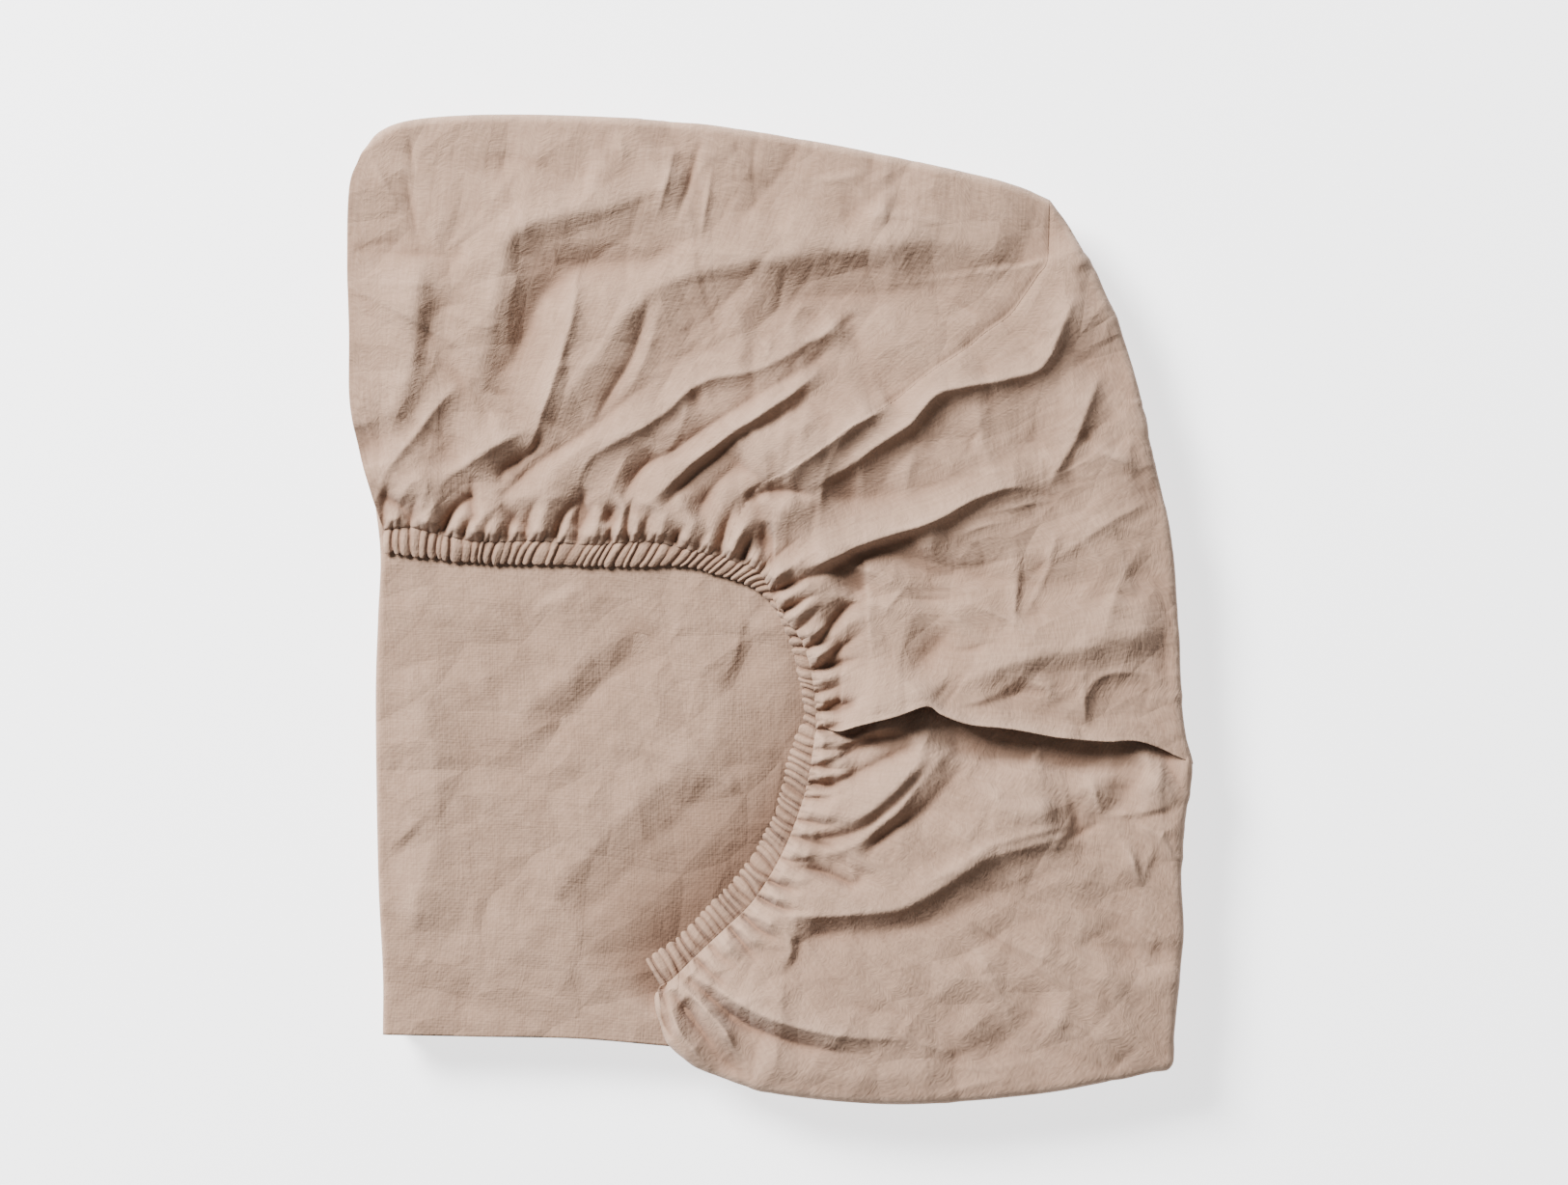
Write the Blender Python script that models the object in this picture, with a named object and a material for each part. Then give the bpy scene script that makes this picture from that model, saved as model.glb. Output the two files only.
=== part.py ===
"""Crumpled fitted sheet, folded to a parcel and lying flat.

The sheet is one closed solid. Its section runs back and forth: flat layers one above the other, the top
one being the base panel, then a wide turn at the right and the back into the skirt, which lies over the
base panel and ends in the gathered elastic hem. The section is carried along the parcel's outline, from
the front right corner up the right side and along the back to the left.

Sizes are in millimetres until the mesh is made. The origin is under the middle of the parcel, +X to the
right, +Y to the back and +Z up.
"""
from collections import namedtuple
import math

import bpy
import numpy as np

METRES_PER_MM = 0.001

# Cloth and layers
CLOTH_THICKNESS = 1.6
HEM_THICKNESS = 3.0
LAYER_GAP = 1.5
FLAT_LAYERS = 7
FREE_EDGE_INSET = 14.0

# Turns at the ends of the layers: how far each lies inside the outline, and its waviness
TURN_INSET = 1.5
TURN_INSET_SPREAD = 4.5
TURN_WAVE_COUNT = 2.3

# Front ends of the layers, which bow forwards on the right half
FRONT_BOW = 11.0
FRONT_BOW_START = 0.35
FRONT_BOW_REACH = 0.22

# Uneven front ends of the layers
FRONT_UNEVEN = 3.5

# Soft waves of the base panel, and the swell that lifts all the layers unevenly
BASE_WAVE_HEIGHT = 0.8
BASE_WAVE_LENGTH = 74.0
BASE_WAVE_TURN = math.radians(38.0)
SWELL_HEIGHT = 1.6
SWELL_LENGTHS = (310.0, 230.0)

# Skirt
SKIRT_CLEARANCE = 1.1
FOLD_STRENGTH = 1.2
SKIRT_EDGE_HEIGHT = 5.2
STITCH_HEIGHT = 4.2
HEM_HEIGHT = 3.6
SIDE_HEIGHT = 4.0
FRONT_DROP = 7.0
GATHERS = 24
GATHER_HEIGHT = 1.6

# Spacing of the mesh: cells along the outline, places across the skirt from hem to turn
COARSE_CELLS = 24
FINE_PER_COARSE = 4
SKIRT_PLACES = (
    0.0, 0.03, 0.062, 0.09, 0.13, 0.18, 0.24, 0.31, 0.38, 0.46, 0.54, 0.62, 0.70, 0.78, 0.86, 0.94, 1.0,
)
HEM_PLACES = 2
BASE_CELLS = 10
LAYER_CELLS = 2
TURN_CELLS = 3
HEIGHT_CELL = 2.5
RELAX_ROUNDS = 500

# Plan outlines, each a smooth curve through its points
FOLD_EDGE = (
    (164, -190), (168, -155), (170, -134), (169, -109), (171, -84), (175, -72), (170, -47), (168, -8),
    (165, 28), (158, 60), (149, 100), (136, 134), (124, 156), (115, 169), (96, 176), (48, 187), (0, 196),
    (-40, 201), (-80, 203), (-120, 203), (-150, 200), (-168, 193),
)
LEFT_EDGE = (
    (-161, -175), (-161, -151), (-163, -109), (-164, -40), (-163, -4), (-162, 23), (-168, 68), (-173, 100),
    (-174, 140), (-174, 166),
)
ELASTIC_EDGE = (
    (-52, -147), (-38, -136), (-24, -121), (-5, -98), (4, -76), (12, -50), (14, -38), (10, -18), (0, 1),
    (-16, 12), (-37, 18), (-77, 18), (-120, 19), (-161, 24),
)
FRONT_EDGE = (
    (-52, -147), (-48, -172), (-32, -188), (-3, -199), (63, -204), (112, -200), (150, -192), (164, -190),
)
SIDE_EDGE = (
    (-161, 24), (-161, 34), (-165, 52), (-170, 68), (-173, 88), (-173, 116), (-174, 172), (-168, 193),
)

# Folds of the skirt: a name, then plan points with the height of the cloth's middle over the base panel
Fold = namedtuple("Fold", "name start middle end")
FOLDS = (
    Fold("back left ridge", (-168, 122, 7), (-130, 156, 10), (-40, 186, 7)),
    Fold("back right ridge", (-80, 132, 9), (12, 160, 11), (104, 166, 6)),
    Fold("back left hollow", (-108, 144, 6), (-64, 149, 5), (-36, 168, 5)),
    Fold("back right hollow", (0, 136, 5), (40, 131, 5), (108, 139, 5)),
    Fold("left ridge", (-109, 148, 8), (-120, 108, 11), (-162, 50, 6)),
    Fold("left outer hollow", (-145, 112, 4), (-148, 88, 4), (-155, 70, 4)),
    Fold("left inner hollow", (-108, 118, 5), (-120, 86, 4), (-140, 48, 4)),
    Fold("thin upright ridge", (-79, 142, 9), (-86, 102, 11), (-105, 53, 8)),
    Fold("thin upright hollow", (-95, 84, 4), (-102, 66, 4), (-108, 52, 4)),
    Fold("left root ridge", (-112, 84, 9), (-124, 58, 9), (-137, 46, 7)),
    Fold("upper slant ridge", (-44, 148, 8), (-64, 128, 9), (-81, 104, 9)),
    Fold("long slant ridge", (0, 114, 12), (-58, 80, 13), (-112, 44, 8)),
    Fold("long slant hollow", (16, 105, 5), (-36, 80, 4), (-81, 44, 4)),
    Fold("second slant ridge", (40, 114, 11), (-10, 80, 12), (-66, 34, 8)),
    Fold("second slant hollow", (15, 90, 4), (-20, 70, 4), (-36, 50, 4)),
    Fold("third slant ridge", (52, 92, 12), (0, 75, 12), (-31, 32, 6)),
    Fold("third slant hollow", (58, 84, 6), (20, 56, 4), (-14, 44, 4)),
    Fold("seam lip", (104, 120, 9), (62, 82, 13), (12, 50, 10)),
    Fold("seam hollow", (104, 84, 7), (60, 64, 5), (24, 48, 4)),
    Fold("sweep crest", (128, 86, 12), (78, 54, 16), (0, 40, 11)),
    Fold("sweep lip", (86, 44, 13), (48, 30, 14), (0, 24, 8)),
    Fold("sweep hollow", (154, 34, 7), (80, 26, 5), (24, 12, 4)),
    Fold("middle cushion", (20, -4, 7), (40, 2, 8), (84, 5, 10)),
    Fold("middle hollow", (17, -20, 4), (32, -8, 4), (41, 0, 5)),
    Fold("middle crest", (165, -4, 10), (98, -22, 15), (24, -28, 11)),
    Fold("overhang lip", (64, -37, 13), (110, -46, 13), (170, -58, 9)),
    Fold("overhang hollow", (64, -47, 4), (112, -55, 4), (154, -64, 4)),
    Fold("first lower ridge", (17, -56, 6), (40, -50, 9), (67, -41, 10)),
    Fold("first lower hollow", (20, -64, 4), (40, -56, 4), (64, -50, 4)),
    Fold("second lower ridge", (15, -76, 6), (48, -61, 8), (84, -53, 6)),
    Fold("second lower hollow", (15, -86, 4), (36, -84, 4), (56, -70, 4)),
    Fold("third lower ridge", (11, -100, 6), (50, -84, 10), (96, -64, 7)),
    Fold("third lower hollow", (6, -106, 4), (34, -104, 4), (64, -80, 5)),
    Fold("long lip", (-4, -125, 8), (72, -112, 13), (127, -90, 8)),
    Fold("long hollow", (0, -132, 4), (74, -121, 4), (120, -99, 6)),
    Fold("front lip", (-25, -158, 7), (10, -172, 10), (60, -176, 8)),
    Fold("front hollow", (-24, -165, 4), (4, -180, 4), (44, -186, 5)),
    Fold("corner crease", (123, -149, 7), (119, -170, 10), (101, -191, 7)),
    Fold("lower swell", (8, -144, 6), (78, -144, 9), (140, -100, 8)),
    Fold("right pillow", (137, -88, 8), (156, -74, 10), (173, -72, 7)),
)

# Cloth
CLOTH_COLOUR = (0.56, 0.43, 0.335, 1.0)
CLOTH_ROUGHNESS = 0.92

COARSE_STATIONS = np.linspace(0.0, 1.0, COARSE_CELLS + 1)
FINE_STATIONS = np.linspace(0.0, 1.0, COARSE_CELLS * FINE_PER_COARSE + 1)
LAYER_PITCH = CLOTH_THICKNESS + LAYER_GAP
UP = np.array((0.0, 0.0, 1.0))

# One row of the section along the stations: the cloth's middle, the way its first face looks, its thickness
Row = namedtuple("Row", "middle facing thickness")


def smooth_path(points, per_span=12):
    """Return a dense Catmull-Rom curve through the points, as an array."""
    points = np.asarray(points, dtype=float)
    ends = (2 * points[:1] - points[1:2], points, 2 * points[-1:] - points[-2:-1])
    padded = np.concatenate(ends)
    before, here, after, beyond = padded[:-3], padded[1:-2], padded[2:-1], padded[3:]
    path = []
    for part in np.arange(per_span) / per_span:
        bend = (2 * before - 5 * here + 4 * after - beyond) * part ** 2
        twist = (3 * here - before - 3 * after + beyond) * part ** 3
        path.append((2 * here + (after - before) * part + bend + twist) / 2)
    dense = np.stack(path, axis=1).reshape(-1, points.shape[1])
    return np.concatenate((dense, points[-1:]))


def spaced(points, places):
    """Return the smooth curve's points at the given shares of its length."""
    path = smooth_path(points)
    steps = np.linalg.norm(np.diff(path[:, :2], axis=0), axis=1)
    travelled = np.concatenate(([0.0], np.cumsum(steps)))
    wanted = np.asarray(places) * travelled[-1]
    return np.stack([np.interp(wanted, travelled, path[:, axis]) for axis in range(path.shape[1])], axis=1)


def outward(edge, turn):
    """Return plan normals of an edge, rounded over its neighbours. turn is +1 for the right of its run."""
    run = np.gradient(edge, axis=0)
    padded = np.pad(run, ((2, 2), (0, 0)), mode="edge")
    run = sum(padded[shift:shift + len(run)] for shift in range(5))
    run /= np.linalg.norm(run, axis=1, keepdims=True)
    return np.stack((run[:, 1], -run[:, 0]), axis=1) * turn


def with_height(plan, height):
    """Return plan points with a height, as an array of three columns."""
    return np.column_stack((plan, np.broadcast_to(height, len(plan))))


def skirt_plan(stations, place):
    """Return the skirt's plan points at one place between its hem (0) and its turn (1).

    It is a Coons patch: the hem and the turn are mixed by the place, the front and left edges by the
    station, and the four corners are taken out once.
    """
    stations = np.asarray(stations)[:, None]
    hem = spaced(ELASTIC_EDGE, stations[:, 0])
    turn = spaced(FOLD_EDGE, stations[:, 0])
    front = spaced(FRONT_EDGE, (place,))
    side = spaced(SIDE_EDGE, (place,))
    across = (1 - place) * hem + place * turn
    along = (1 - stations) * front + stations * side
    at_front = (1 - place) * np.array(FRONT_EDGE[0]) + place * np.array(FRONT_EDGE[-1])
    at_side = (1 - place) * np.array(SIDE_EDGE[0]) + place * np.array(SIDE_EDGE[-1])
    return across + along - (1 - stations) * at_front - stations * at_side


class HeightField:
    """Heights over the base panel: stretched like a membrane over ridges and hollows, then rounded."""

    def __init__(self, lines):
        corners = np.array(FOLD_EDGE + LEFT_EDGE + FRONT_EDGE, dtype=float)
        self.low = corners.min(axis=0) - 4 * HEIGHT_CELL
        cells = np.ceil((corners.max(axis=0) - self.low) / HEIGHT_CELL).astype(int) + 4
        total = np.zeros(cells)
        count = np.zeros(cells)
        for line in lines:
            places = np.linspace(0.0, 1.0, 160)
            points = spaced(line, places)
            index = np.round((points[:, :2] - self.low) / HEIGHT_CELL).astype(int)
            np.add.at(total, tuple(index.T), points[:, 2])
            np.add.at(count, tuple(index.T), 1)
        held = count > 0
        known = np.where(held, total / np.maximum(count, 1), total[held].sum() / count[held].sum())
        self.heights = self.rounded(self.relaxed(known, held))

    @staticmethod
    def relaxed(known, held):
        """Let every free cell take the mean of its four neighbours until the surface is taut."""
        heights = known.copy()
        for _ in range(RELAX_ROUNDS):
            wide = np.pad(heights, 1, mode="edge")
            mean = (wide[:-2, 1:-1] + wide[2:, 1:-1] + wide[1:-1, :-2] + wide[1:-1, 2:]) / 4
            heights = np.where(held, known, mean)
        return heights

    @staticmethod
    def rounded(heights):
        """Round the ridges and hollows with a small bell-shaped blur each way."""
        wide = np.pad(heights, 1, mode="edge")
        wide = (wide[:-2] + 2 * wide[1:-1] + wide[2:]) / 4
        return (wide[:, :-2] + 2 * wide[:, 1:-1] + wide[:, 2:]) / 4

    def at(self, plan):
        """Return the heights under plan points, mixed from the four cells around each."""
        place = (plan - self.low) / HEIGHT_CELL
        cell = np.floor(place).astype(int)
        cell = np.clip(cell, 0, np.array(self.heights.shape) - 2)
        part = np.clip(place - cell, 0.0, 1.0)
        left = self.heights[cell[:, 0], cell[:, 1]] * (1 - part[:, 1])
        left += self.heights[cell[:, 0], cell[:, 1] + 1] * part[:, 1]
        right = self.heights[cell[:, 0] + 1, cell[:, 1]] * (1 - part[:, 1])
        right += self.heights[cell[:, 0] + 1, cell[:, 1] + 1] * part[:, 1]
        return left * (1 - part[:, 0]) + right * part[:, 0]


def skirt_heights():
    """Return the skirt's height field: its folds, and its edges at their own heights."""
    lines = [smooth_path((fold.start, fold.middle, fold.end)) for fold in FOLDS]
    edges = (
        (FOLD_EDGE, SKIRT_EDGE_HEIGHT),
        (ELASTIC_EDGE, HEM_HEIGHT),
        (SIDE_EDGE, SIDE_HEIGHT),
        (FRONT_EDGE, SKIRT_EDGE_HEIGHT),
    )
    lines += [with_height(smooth_path(edge), height) for edge, height in edges]
    stitch = skirt_plan(np.linspace(0.0, 1.0, 120), SKIRT_PLACES[HEM_PLACES])
    lines.append(with_height(stitch, STITCH_HEIGHT))
    return HeightField(lines)


def turn_inset(layer, stations):
    """Return how far a turn lies inside the outline: uneven along it and from one turn to the next."""
    swing = np.sin(2 * math.pi * TURN_WAVE_COUNT * stations + 1.9 * layer)
    return TURN_INSET + TURN_INSET_SPREAD * (0.5 + 0.5 * swing)


def swell(plan):
    """Return how far the whole parcel is lifted at plan points, from nothing to SWELL_HEIGHT."""
    across = np.sin(2 * math.pi * (plan[:, 0] + 60.0) / SWELL_LENGTHS[0])
    along = np.cos(2 * math.pi * (plan[:, 1] - 30.0) / SWELL_LENGTHS[1])
    return SWELL_HEIGHT * (0.5 + 0.25 * across + 0.25 * along)


def base_wave(plan):
    """Return the soft slanting waves that the open part of the base panel has."""
    slant = plan[:, 0] * math.cos(BASE_WAVE_TURN) + plan[:, 1] * math.sin(BASE_WAVE_TURN)
    wave = np.sin(2 * math.pi * slant / BASE_WAVE_LENGTH)
    open_x = np.clip((-10.0 - plan[:, 0]) / 60.0, 0.0, 1.0)
    open_y = np.clip((10.0 - plan[:, 1]) / 60.0, 0.0, 1.0)
    return BASE_WAVE_HEIGHT * wave * open_x * open_y


def front_bow(stations, share, layer):
    """Return how far a layer's front end bows forwards at a share of the way from left to right."""
    across = np.clip((share - FRONT_BOW_START) / (1 - FRONT_BOW_START), 0.0, 1.0)
    fade = np.clip(1 - stations / FRONT_BOW_REACH, 0.0, 1.0) ** 2
    uneven = FRONT_UNEVEN * math.sin(math.pi * share) * math.sin(2.1 * layer + 3 * share)
    return (FRONT_BOW * math.sin(math.pi * across) + uneven) * fade


def layer_height(layer, plan):
    """Return the height of a flat layer's middle at plan points. The lowest layer lies flat."""
    uneven = (base_wave(plan) + swell(plan)) * layer / (FLAT_LAYERS - 1)
    return CLOTH_THICKNESS / 2 + layer * LAYER_PITCH + uneven


def turn_rows(edge, out, low, high, facing, cells):
    """Return the rows inside one turn, a half circle that goes from its lower layer to its upper one."""
    radius = (high - low) / 2
    rows = []
    for step in range(1, cells):
        angle = math.pi * (step / cells - 0.5)
        lean = with_height(out * math.cos(angle), math.sin(angle))
        centre = with_height(edge, low + radius) + lean * radius[:, None]
        rows.append(Row(centre, lean * facing, CLOTH_THICKNESS))
    return rows


def layered_rows(field):
    """Return the rows of the flat layers and their turns, from the lowest free edge to the skirt's turn."""
    stations = COARSE_STATIONS
    left_edge = spaced(LEFT_EDGE, stations)
    right_edge = spaced(FOLD_EDGE, stations)
    left_out = outward(left_edge, -1)
    right_out = outward(right_edge, 1)
    skirt_rise = field.at(right_edge)
    rows = []
    for layer in range(FLAT_LAYERS):
        base_panel = layer == FLAT_LAYERS - 1
        runs_right = layer % 2 == 0
        left_turn = layer if not runs_right else layer - 1
        right_turn = layer if runs_right else layer - 1
        left_in = turn_inset(left_turn, stations) + LAYER_PITCH / 2
        right_in = turn_inset(right_turn, stations) + LAYER_PITCH / 2
        if layer == 0:
            left_in = left_in + FREE_EDGE_INSET
        if base_panel:
            right_in = skirt_rise / 2
        left_end = left_edge - left_out * left_in[:, None]
        right_end = right_edge - right_out * right_in[:, None]
        cells = BASE_CELLS if base_panel else LAYER_CELLS
        shares = np.linspace(0.0, 1.0, cells + 1)
        facing = UP if runs_right else -UP
        for share in shares if runs_right else shares[::-1]:
            plan = left_end * (1 - share) + right_end * share
            plan[:, 1] -= front_bow(stations, share, layer)
            middle = with_height(plan, layer_height(layer, plan))
            rows.append(Row(middle, np.broadcast_to(facing, middle.shape), CLOTH_THICKNESS))
        end, out = (right_end, right_out) if runs_right else (left_end, left_out)
        low = layer_height(layer, end)
        high = low + skirt_rise if base_panel else layer_height(layer + 1, end)
        cells = TURN_CELLS + 1 if base_panel else TURN_CELLS
        rows += turn_rows(end, out, low, high, -1 if runs_right else 1, cells)
    return rows


def gather(stations, place):
    """Return the small gathers at the hem, which die out along the skirt."""
    hem = SKIRT_PLACES[HEM_PLACES]
    strength = 0.45 if place < hem else math.exp(-(place - hem) / 0.1)
    fade = np.clip(np.minimum(stations, 1 - stations) * 12, 0.0, 1.0)
    return GATHER_HEIGHT * strength * fade * np.cos(2 * math.pi * GATHERS * stations)


def front_drop(stations, place):
    """Return how far the skirt's front edge hangs down where it passes the layers' front ends."""
    at_edge = np.clip(1 - stations * FINE_STATIONS.size * 0.62, 0.0, 1.0)
    past_layers = min(max((place - 0.2) * 4, 0.0), 1.0) * min(max((0.9 - place) * 6, 0.0), 1.0)
    return FRONT_DROP * at_edge * past_layers


def skirt_rows(field):
    """Return the skirt's rows from its turn back to the elastic edge, the first one with coarse stations."""
    rows = []
    lowest = CLOTH_THICKNESS + SKIRT_CLEARANCE
    for number, place in reversed(list(enumerate(SKIRT_PLACES))):
        at_turn = place == SKIRT_PLACES[-1]
        stations = COARSE_STATIONS if at_turn else FINE_STATIONS
        plan = skirt_plan(stations, place)
        if at_turn:
            rise = field.at(plan)
            plan = plan - outward(plan, 1) * rise[:, None] / 2
        else:
            folds = field.at(plan) + gather(stations, place)
            folds = lowest + FOLD_STRENGTH * (folds - lowest) if number > HEM_PLACES else folds
            rise = np.maximum(folds, lowest) - front_drop(stations, place)
        thickness = HEM_THICKNESS if number < HEM_PLACES else CLOTH_THICKNESS
        height = layer_height(FLAT_LAYERS - 1, plan) + rise + (thickness - CLOTH_THICKNESS) / 2
        middle = with_height(plan, height)
        rows.append(Row(middle, np.broadcast_to(-UP, middle.shape), thickness))
    return rows


class Shell:
    """A closed mesh built from rows: two faces of the cloth, its two free edges and its two ends."""

    def __init__(self, rows):
        self.points = []
        self.faces = []
        self.first = [self.added(row.middle + row.facing * row.thickness / 2) for row in rows]
        self.second = [self.added(row.middle - row.facing * row.thickness / 2) for row in rows]
        for face, flipped in ((self.first, True), (self.second, False)):
            for one, other in zip(face, face[1:]):
                self.bridge(one, other, flipped)
        self.bridge(self.second[0], self.first[0], True)
        self.bridge(self.first[-1], self.second[-1], True)
        for near, far in zip(range(len(rows) - 1), range(1, len(rows))):
            for end, flipped in ((0, True), (-1, False)):
                corners = (self.first[near], self.first[far], self.second[far], self.second[near])
                self.face([corner[end] for corner in corners], flipped)

    def added(self, points):
        """Add points and return their numbers."""
        start = len(self.points)
        self.points.extend(points)
        return list(range(start, len(self.points)))

    def face(self, corners, flipped):
        """Add one face as triangles, split along the shorter diagonal."""
        if flipped:
            corners = corners[::-1]
        if len(corners) == 3:
            self.faces.append(tuple(corners))
            return
        a, b, c, d = corners
        near = np.linalg.norm(self.points[a] - self.points[c])
        if near <= np.linalg.norm(self.points[b] - self.points[d]):
            self.faces += [(a, b, c), (a, c, d)]
        else:
            self.faces += [(a, b, d), (b, c, d)]

    def bridge(self, one, other, flipped):
        """Join two rows of points, whose stations are the same or four to one."""
        coarse, fine, swapped = (one, other, False) if len(one) <= len(other) else (other, one, True)
        ratio = (len(fine) - 1) // (len(coarse) - 1)
        for cell in range(len(coarse) - 1):
            start = cell * ratio
            if ratio == 1:
                self.face([one[cell], one[cell + 1], other[cell + 1], other[cell]], flipped)
                continue
            half = start + ratio // 2
            for place in range(start, start + ratio):
                tip = coarse[cell] if place < half else coarse[cell + 1]
                self.face([tip, fine[place + 1], fine[place]], flipped != swapped)
            self.face([coarse[cell], coarse[cell + 1], fine[half]], flipped != swapped)


def cloth_material():
    """Return the washed cloth's material, one plain colour."""
    material = bpy.data.materials.new("washed_cotton")
    material.use_nodes = True
    shader = material.node_tree.nodes["Principled BSDF"]
    shader.inputs["Base Color"].default_value = CLOTH_COLOUR
    shader.inputs["Roughness"].default_value = CLOTH_ROUGHNESS
    shader.inputs["Metallic"].default_value = 0.0
    return material


def make_sheet():
    """Build the sheet's one solid and put it in the scene, centred over the origin."""
    field = skirt_heights()
    shell = Shell(layered_rows(field) + skirt_rows(field))
    points = np.array(shell.points)
    middle = (points.max(axis=0) + points.min(axis=0)) / 2
    points -= (middle[0], middle[1], points[:, 2].min())
    mesh = bpy.data.meshes.new("fitted_sheet")
    mesh.from_pydata((points * METRES_PER_MM).tolist(), [], shell.faces)
    mesh.validate()
    mesh.shade_smooth()
    mesh.materials.append(cloth_material())
    sheet = bpy.data.objects.new("fitted_sheet", mesh)
    bpy.context.collection.objects.link(sheet)
    return sheet


def main():
    """Clear the scene and build the sheet."""
    for old in list(bpy.data.objects):
        bpy.data.objects.remove(old, do_unlink=True)
    make_sheet()


if __name__ == "__main__":
    main()
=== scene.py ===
"""Crumpled fitted sheet, folded to a parcel: the cloth's visible pieces over its solid.

The folded layers, the base panel, the three parts of the skirt and the gathered elastic hem are surfaces
worked out on grids. The skirt's height is a sum of strokes, one along each of its folds and creases, whose
lines were read on the photograph. Shapes are worked out in millimetres, with the origin under the
middle of the parcel, +X right, +Y back, +Z up.
"""
from collections import namedtuple
import functools
import math

import bpy
import mathutils
import numpy as np
from bpy.props import FloatProperty, FloatVectorProperty, IntProperty, PointerProperty
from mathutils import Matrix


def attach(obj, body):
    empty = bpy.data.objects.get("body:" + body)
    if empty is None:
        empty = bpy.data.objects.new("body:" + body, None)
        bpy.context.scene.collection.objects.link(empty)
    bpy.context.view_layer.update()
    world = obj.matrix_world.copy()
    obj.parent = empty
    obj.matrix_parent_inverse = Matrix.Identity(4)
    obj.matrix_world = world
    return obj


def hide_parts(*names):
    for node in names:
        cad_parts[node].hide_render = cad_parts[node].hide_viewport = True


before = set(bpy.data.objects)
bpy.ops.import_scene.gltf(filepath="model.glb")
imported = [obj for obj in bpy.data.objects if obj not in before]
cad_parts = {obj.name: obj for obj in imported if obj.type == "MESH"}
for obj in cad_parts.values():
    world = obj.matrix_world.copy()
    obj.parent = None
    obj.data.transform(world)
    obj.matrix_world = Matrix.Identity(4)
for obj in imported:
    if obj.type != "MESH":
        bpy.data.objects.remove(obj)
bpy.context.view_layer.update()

bl_info = {
    "name": "Crumpled fitted sheet",
    "version": (1, 0, 0),
    "blender": (4, 5, 0),
    "location": "3D View > Sidebar > Fitted sheet",
    "description": "Builds a folded fitted sheet with a gathered elastic hem",
    "category": "Add Mesh",
}

METRES_PER_MM = 0.001

# The photograph: millimetres to one of its pixels, the pixel over the origin, and its size in pixels
PIXEL_MM = 0.4
PIXEL_AT_ORIGIN = (800.0, 631.0)
PHOTO_SIZE = (1625.0, 1228.0)

# The base panel: its level, and the parcel's long swell with its height, lengths and starts
BASE_LEVEL = 19.4
SWELL_HEIGHT = 1.6
SWELL_LENGTHS = (310.0, 230.0)
SWELL_STARTS = (-60.0, 30.0)

# The skirt over the base panel's middle: the height that its folds rise and fall around, the least height,
# and how it starts beside the stitch line: height, reach, power, and how far inside the line
FOLD_MIDDLE = 6.5
LEAST_RISE = 1.9
HEM_START_RISE = 2.9
HEM_START_REACH = 4.0
HEM_START_POWER = 0.7
HEM_START_INSIDE = 1.6

# The skirt's turn at the outline: its least height, the reach of a corner, the last share of a side that
# gives its direction, the distances that the cloth is tucked in by, the power that draws the rows together
# at the hem, the power that draws them in at the outline, and how soon the under side follows the top there
LEAST_TURN = 3.0
CORNER_REACH = 6.0
SIDE_END = (0.96, 1.0)
TUCK_UNDER = (4.0, 9.0)
ROW_POWER = 1.12
INSET_POWER = 3
UNDER_BLEND = 12

# Relief, from which shade is painted into the colour of the hollows and a highlight onto the ridges: reach
# of the close and the wide mean around a place, the depth below each that counts as full, the same depths
# for the gathers, the dip and the base panel, and the relief past the rim, which paints a highlight on the
# turn
RELIEF_REACH = 3.0
RELIEF_DEPTH = 3.0
WIDE_RELIEF_REACH = 13.0
WIDE_RELIEF_DEPTH = 9.0
GATHER_RELIEF_DEPTH = 2.2
DIP_RELIEF_DEPTH = 4.4
BASE_RELIEF_DEPTH = 8.0
RIM_HIGHLIGHT = 0.7

# A dip of the whole parcel along the hem's right side: its line on the photograph and depths along it
DIP_LINE = ((815, 620), (838, 665), (846, 740), (828, 830), (795, 900), (748, 955), (700, 1000), (672, 1050))
DIP_DEPTHS = (0.0, -1.5, -3.5, -6.0, -8.8, -9.6, -9.2, -4.5)
DIP_SHAPE = (19.0, 14.0, 2.0)

# Height fields: corner, size and cell, the wide mean's reach, the share of it that is taken off, and the
# step in cells that it is worked out with
FIELD_CORNER = (-190.0, -220.0)
FIELD_SIZE = (380.0, 440.0)
FIELD_CELL = 0.7
WIDE_MEAN_REACH = 20.0
WIDE_MEAN_SHARE = 0.6
WIDE_MEAN_STEP = 6

# A stroke of cloth: plan points, rise at each, how fast it fades on its lit and its shaded side, rounding
Stroke = namedtuple("Stroke", "plan rises lit shade rounding")

# Distance between a stroke's points, the fade at its ends with its largest share of the length and its
# power, how many widths it is worked out for, and how fast its sides change over as it turns to the light
STROKE_STEP = 2.5
END_FADE = 12.0
END_FADE_SHARE = 0.45
END_POWER = 0.8
STROKE_WIDTHS = 4.0
LIGHT_TURN = 0.9

# Edges of folds: fade on the lit and the shaded side and rounding, for crests and for valleys, and the share
# of a fold's height that its stroke takes. A long lip has a second, broad stroke under it.
SOFT, CRISP, LIP = "soft", "crisp", "lip"
CREST_SHAPES = {SOFT: (22.0, 11.0, 3.2), LIP: (11.0, 3.4, 0.6), CRISP: (4.5, 2.6, 0.4)}
VALLEY_SHAPES = {SOFT: (9.0, 9.0, 2.0), CRISP: (3.4, 3.4, 0.6)}
FOLD_SHARES = {SOFT: 4.4, LIP: 1.1, CRISP: 1.55}
LONG_LIP = 50.0
LONG_LIP_SHAPE = (17.0, 10.5, 1.0)
LONG_LIP_SHARE = 0.5
CREASE_SHAPE = (2.2, 1.3, 0.3)
CREASE_SHARE = 1.4
BASE_SHAPES = {SOFT: (16.0, 10.0, 2.5), CRISP: (5.0, 2.0, 0.5)}
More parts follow.
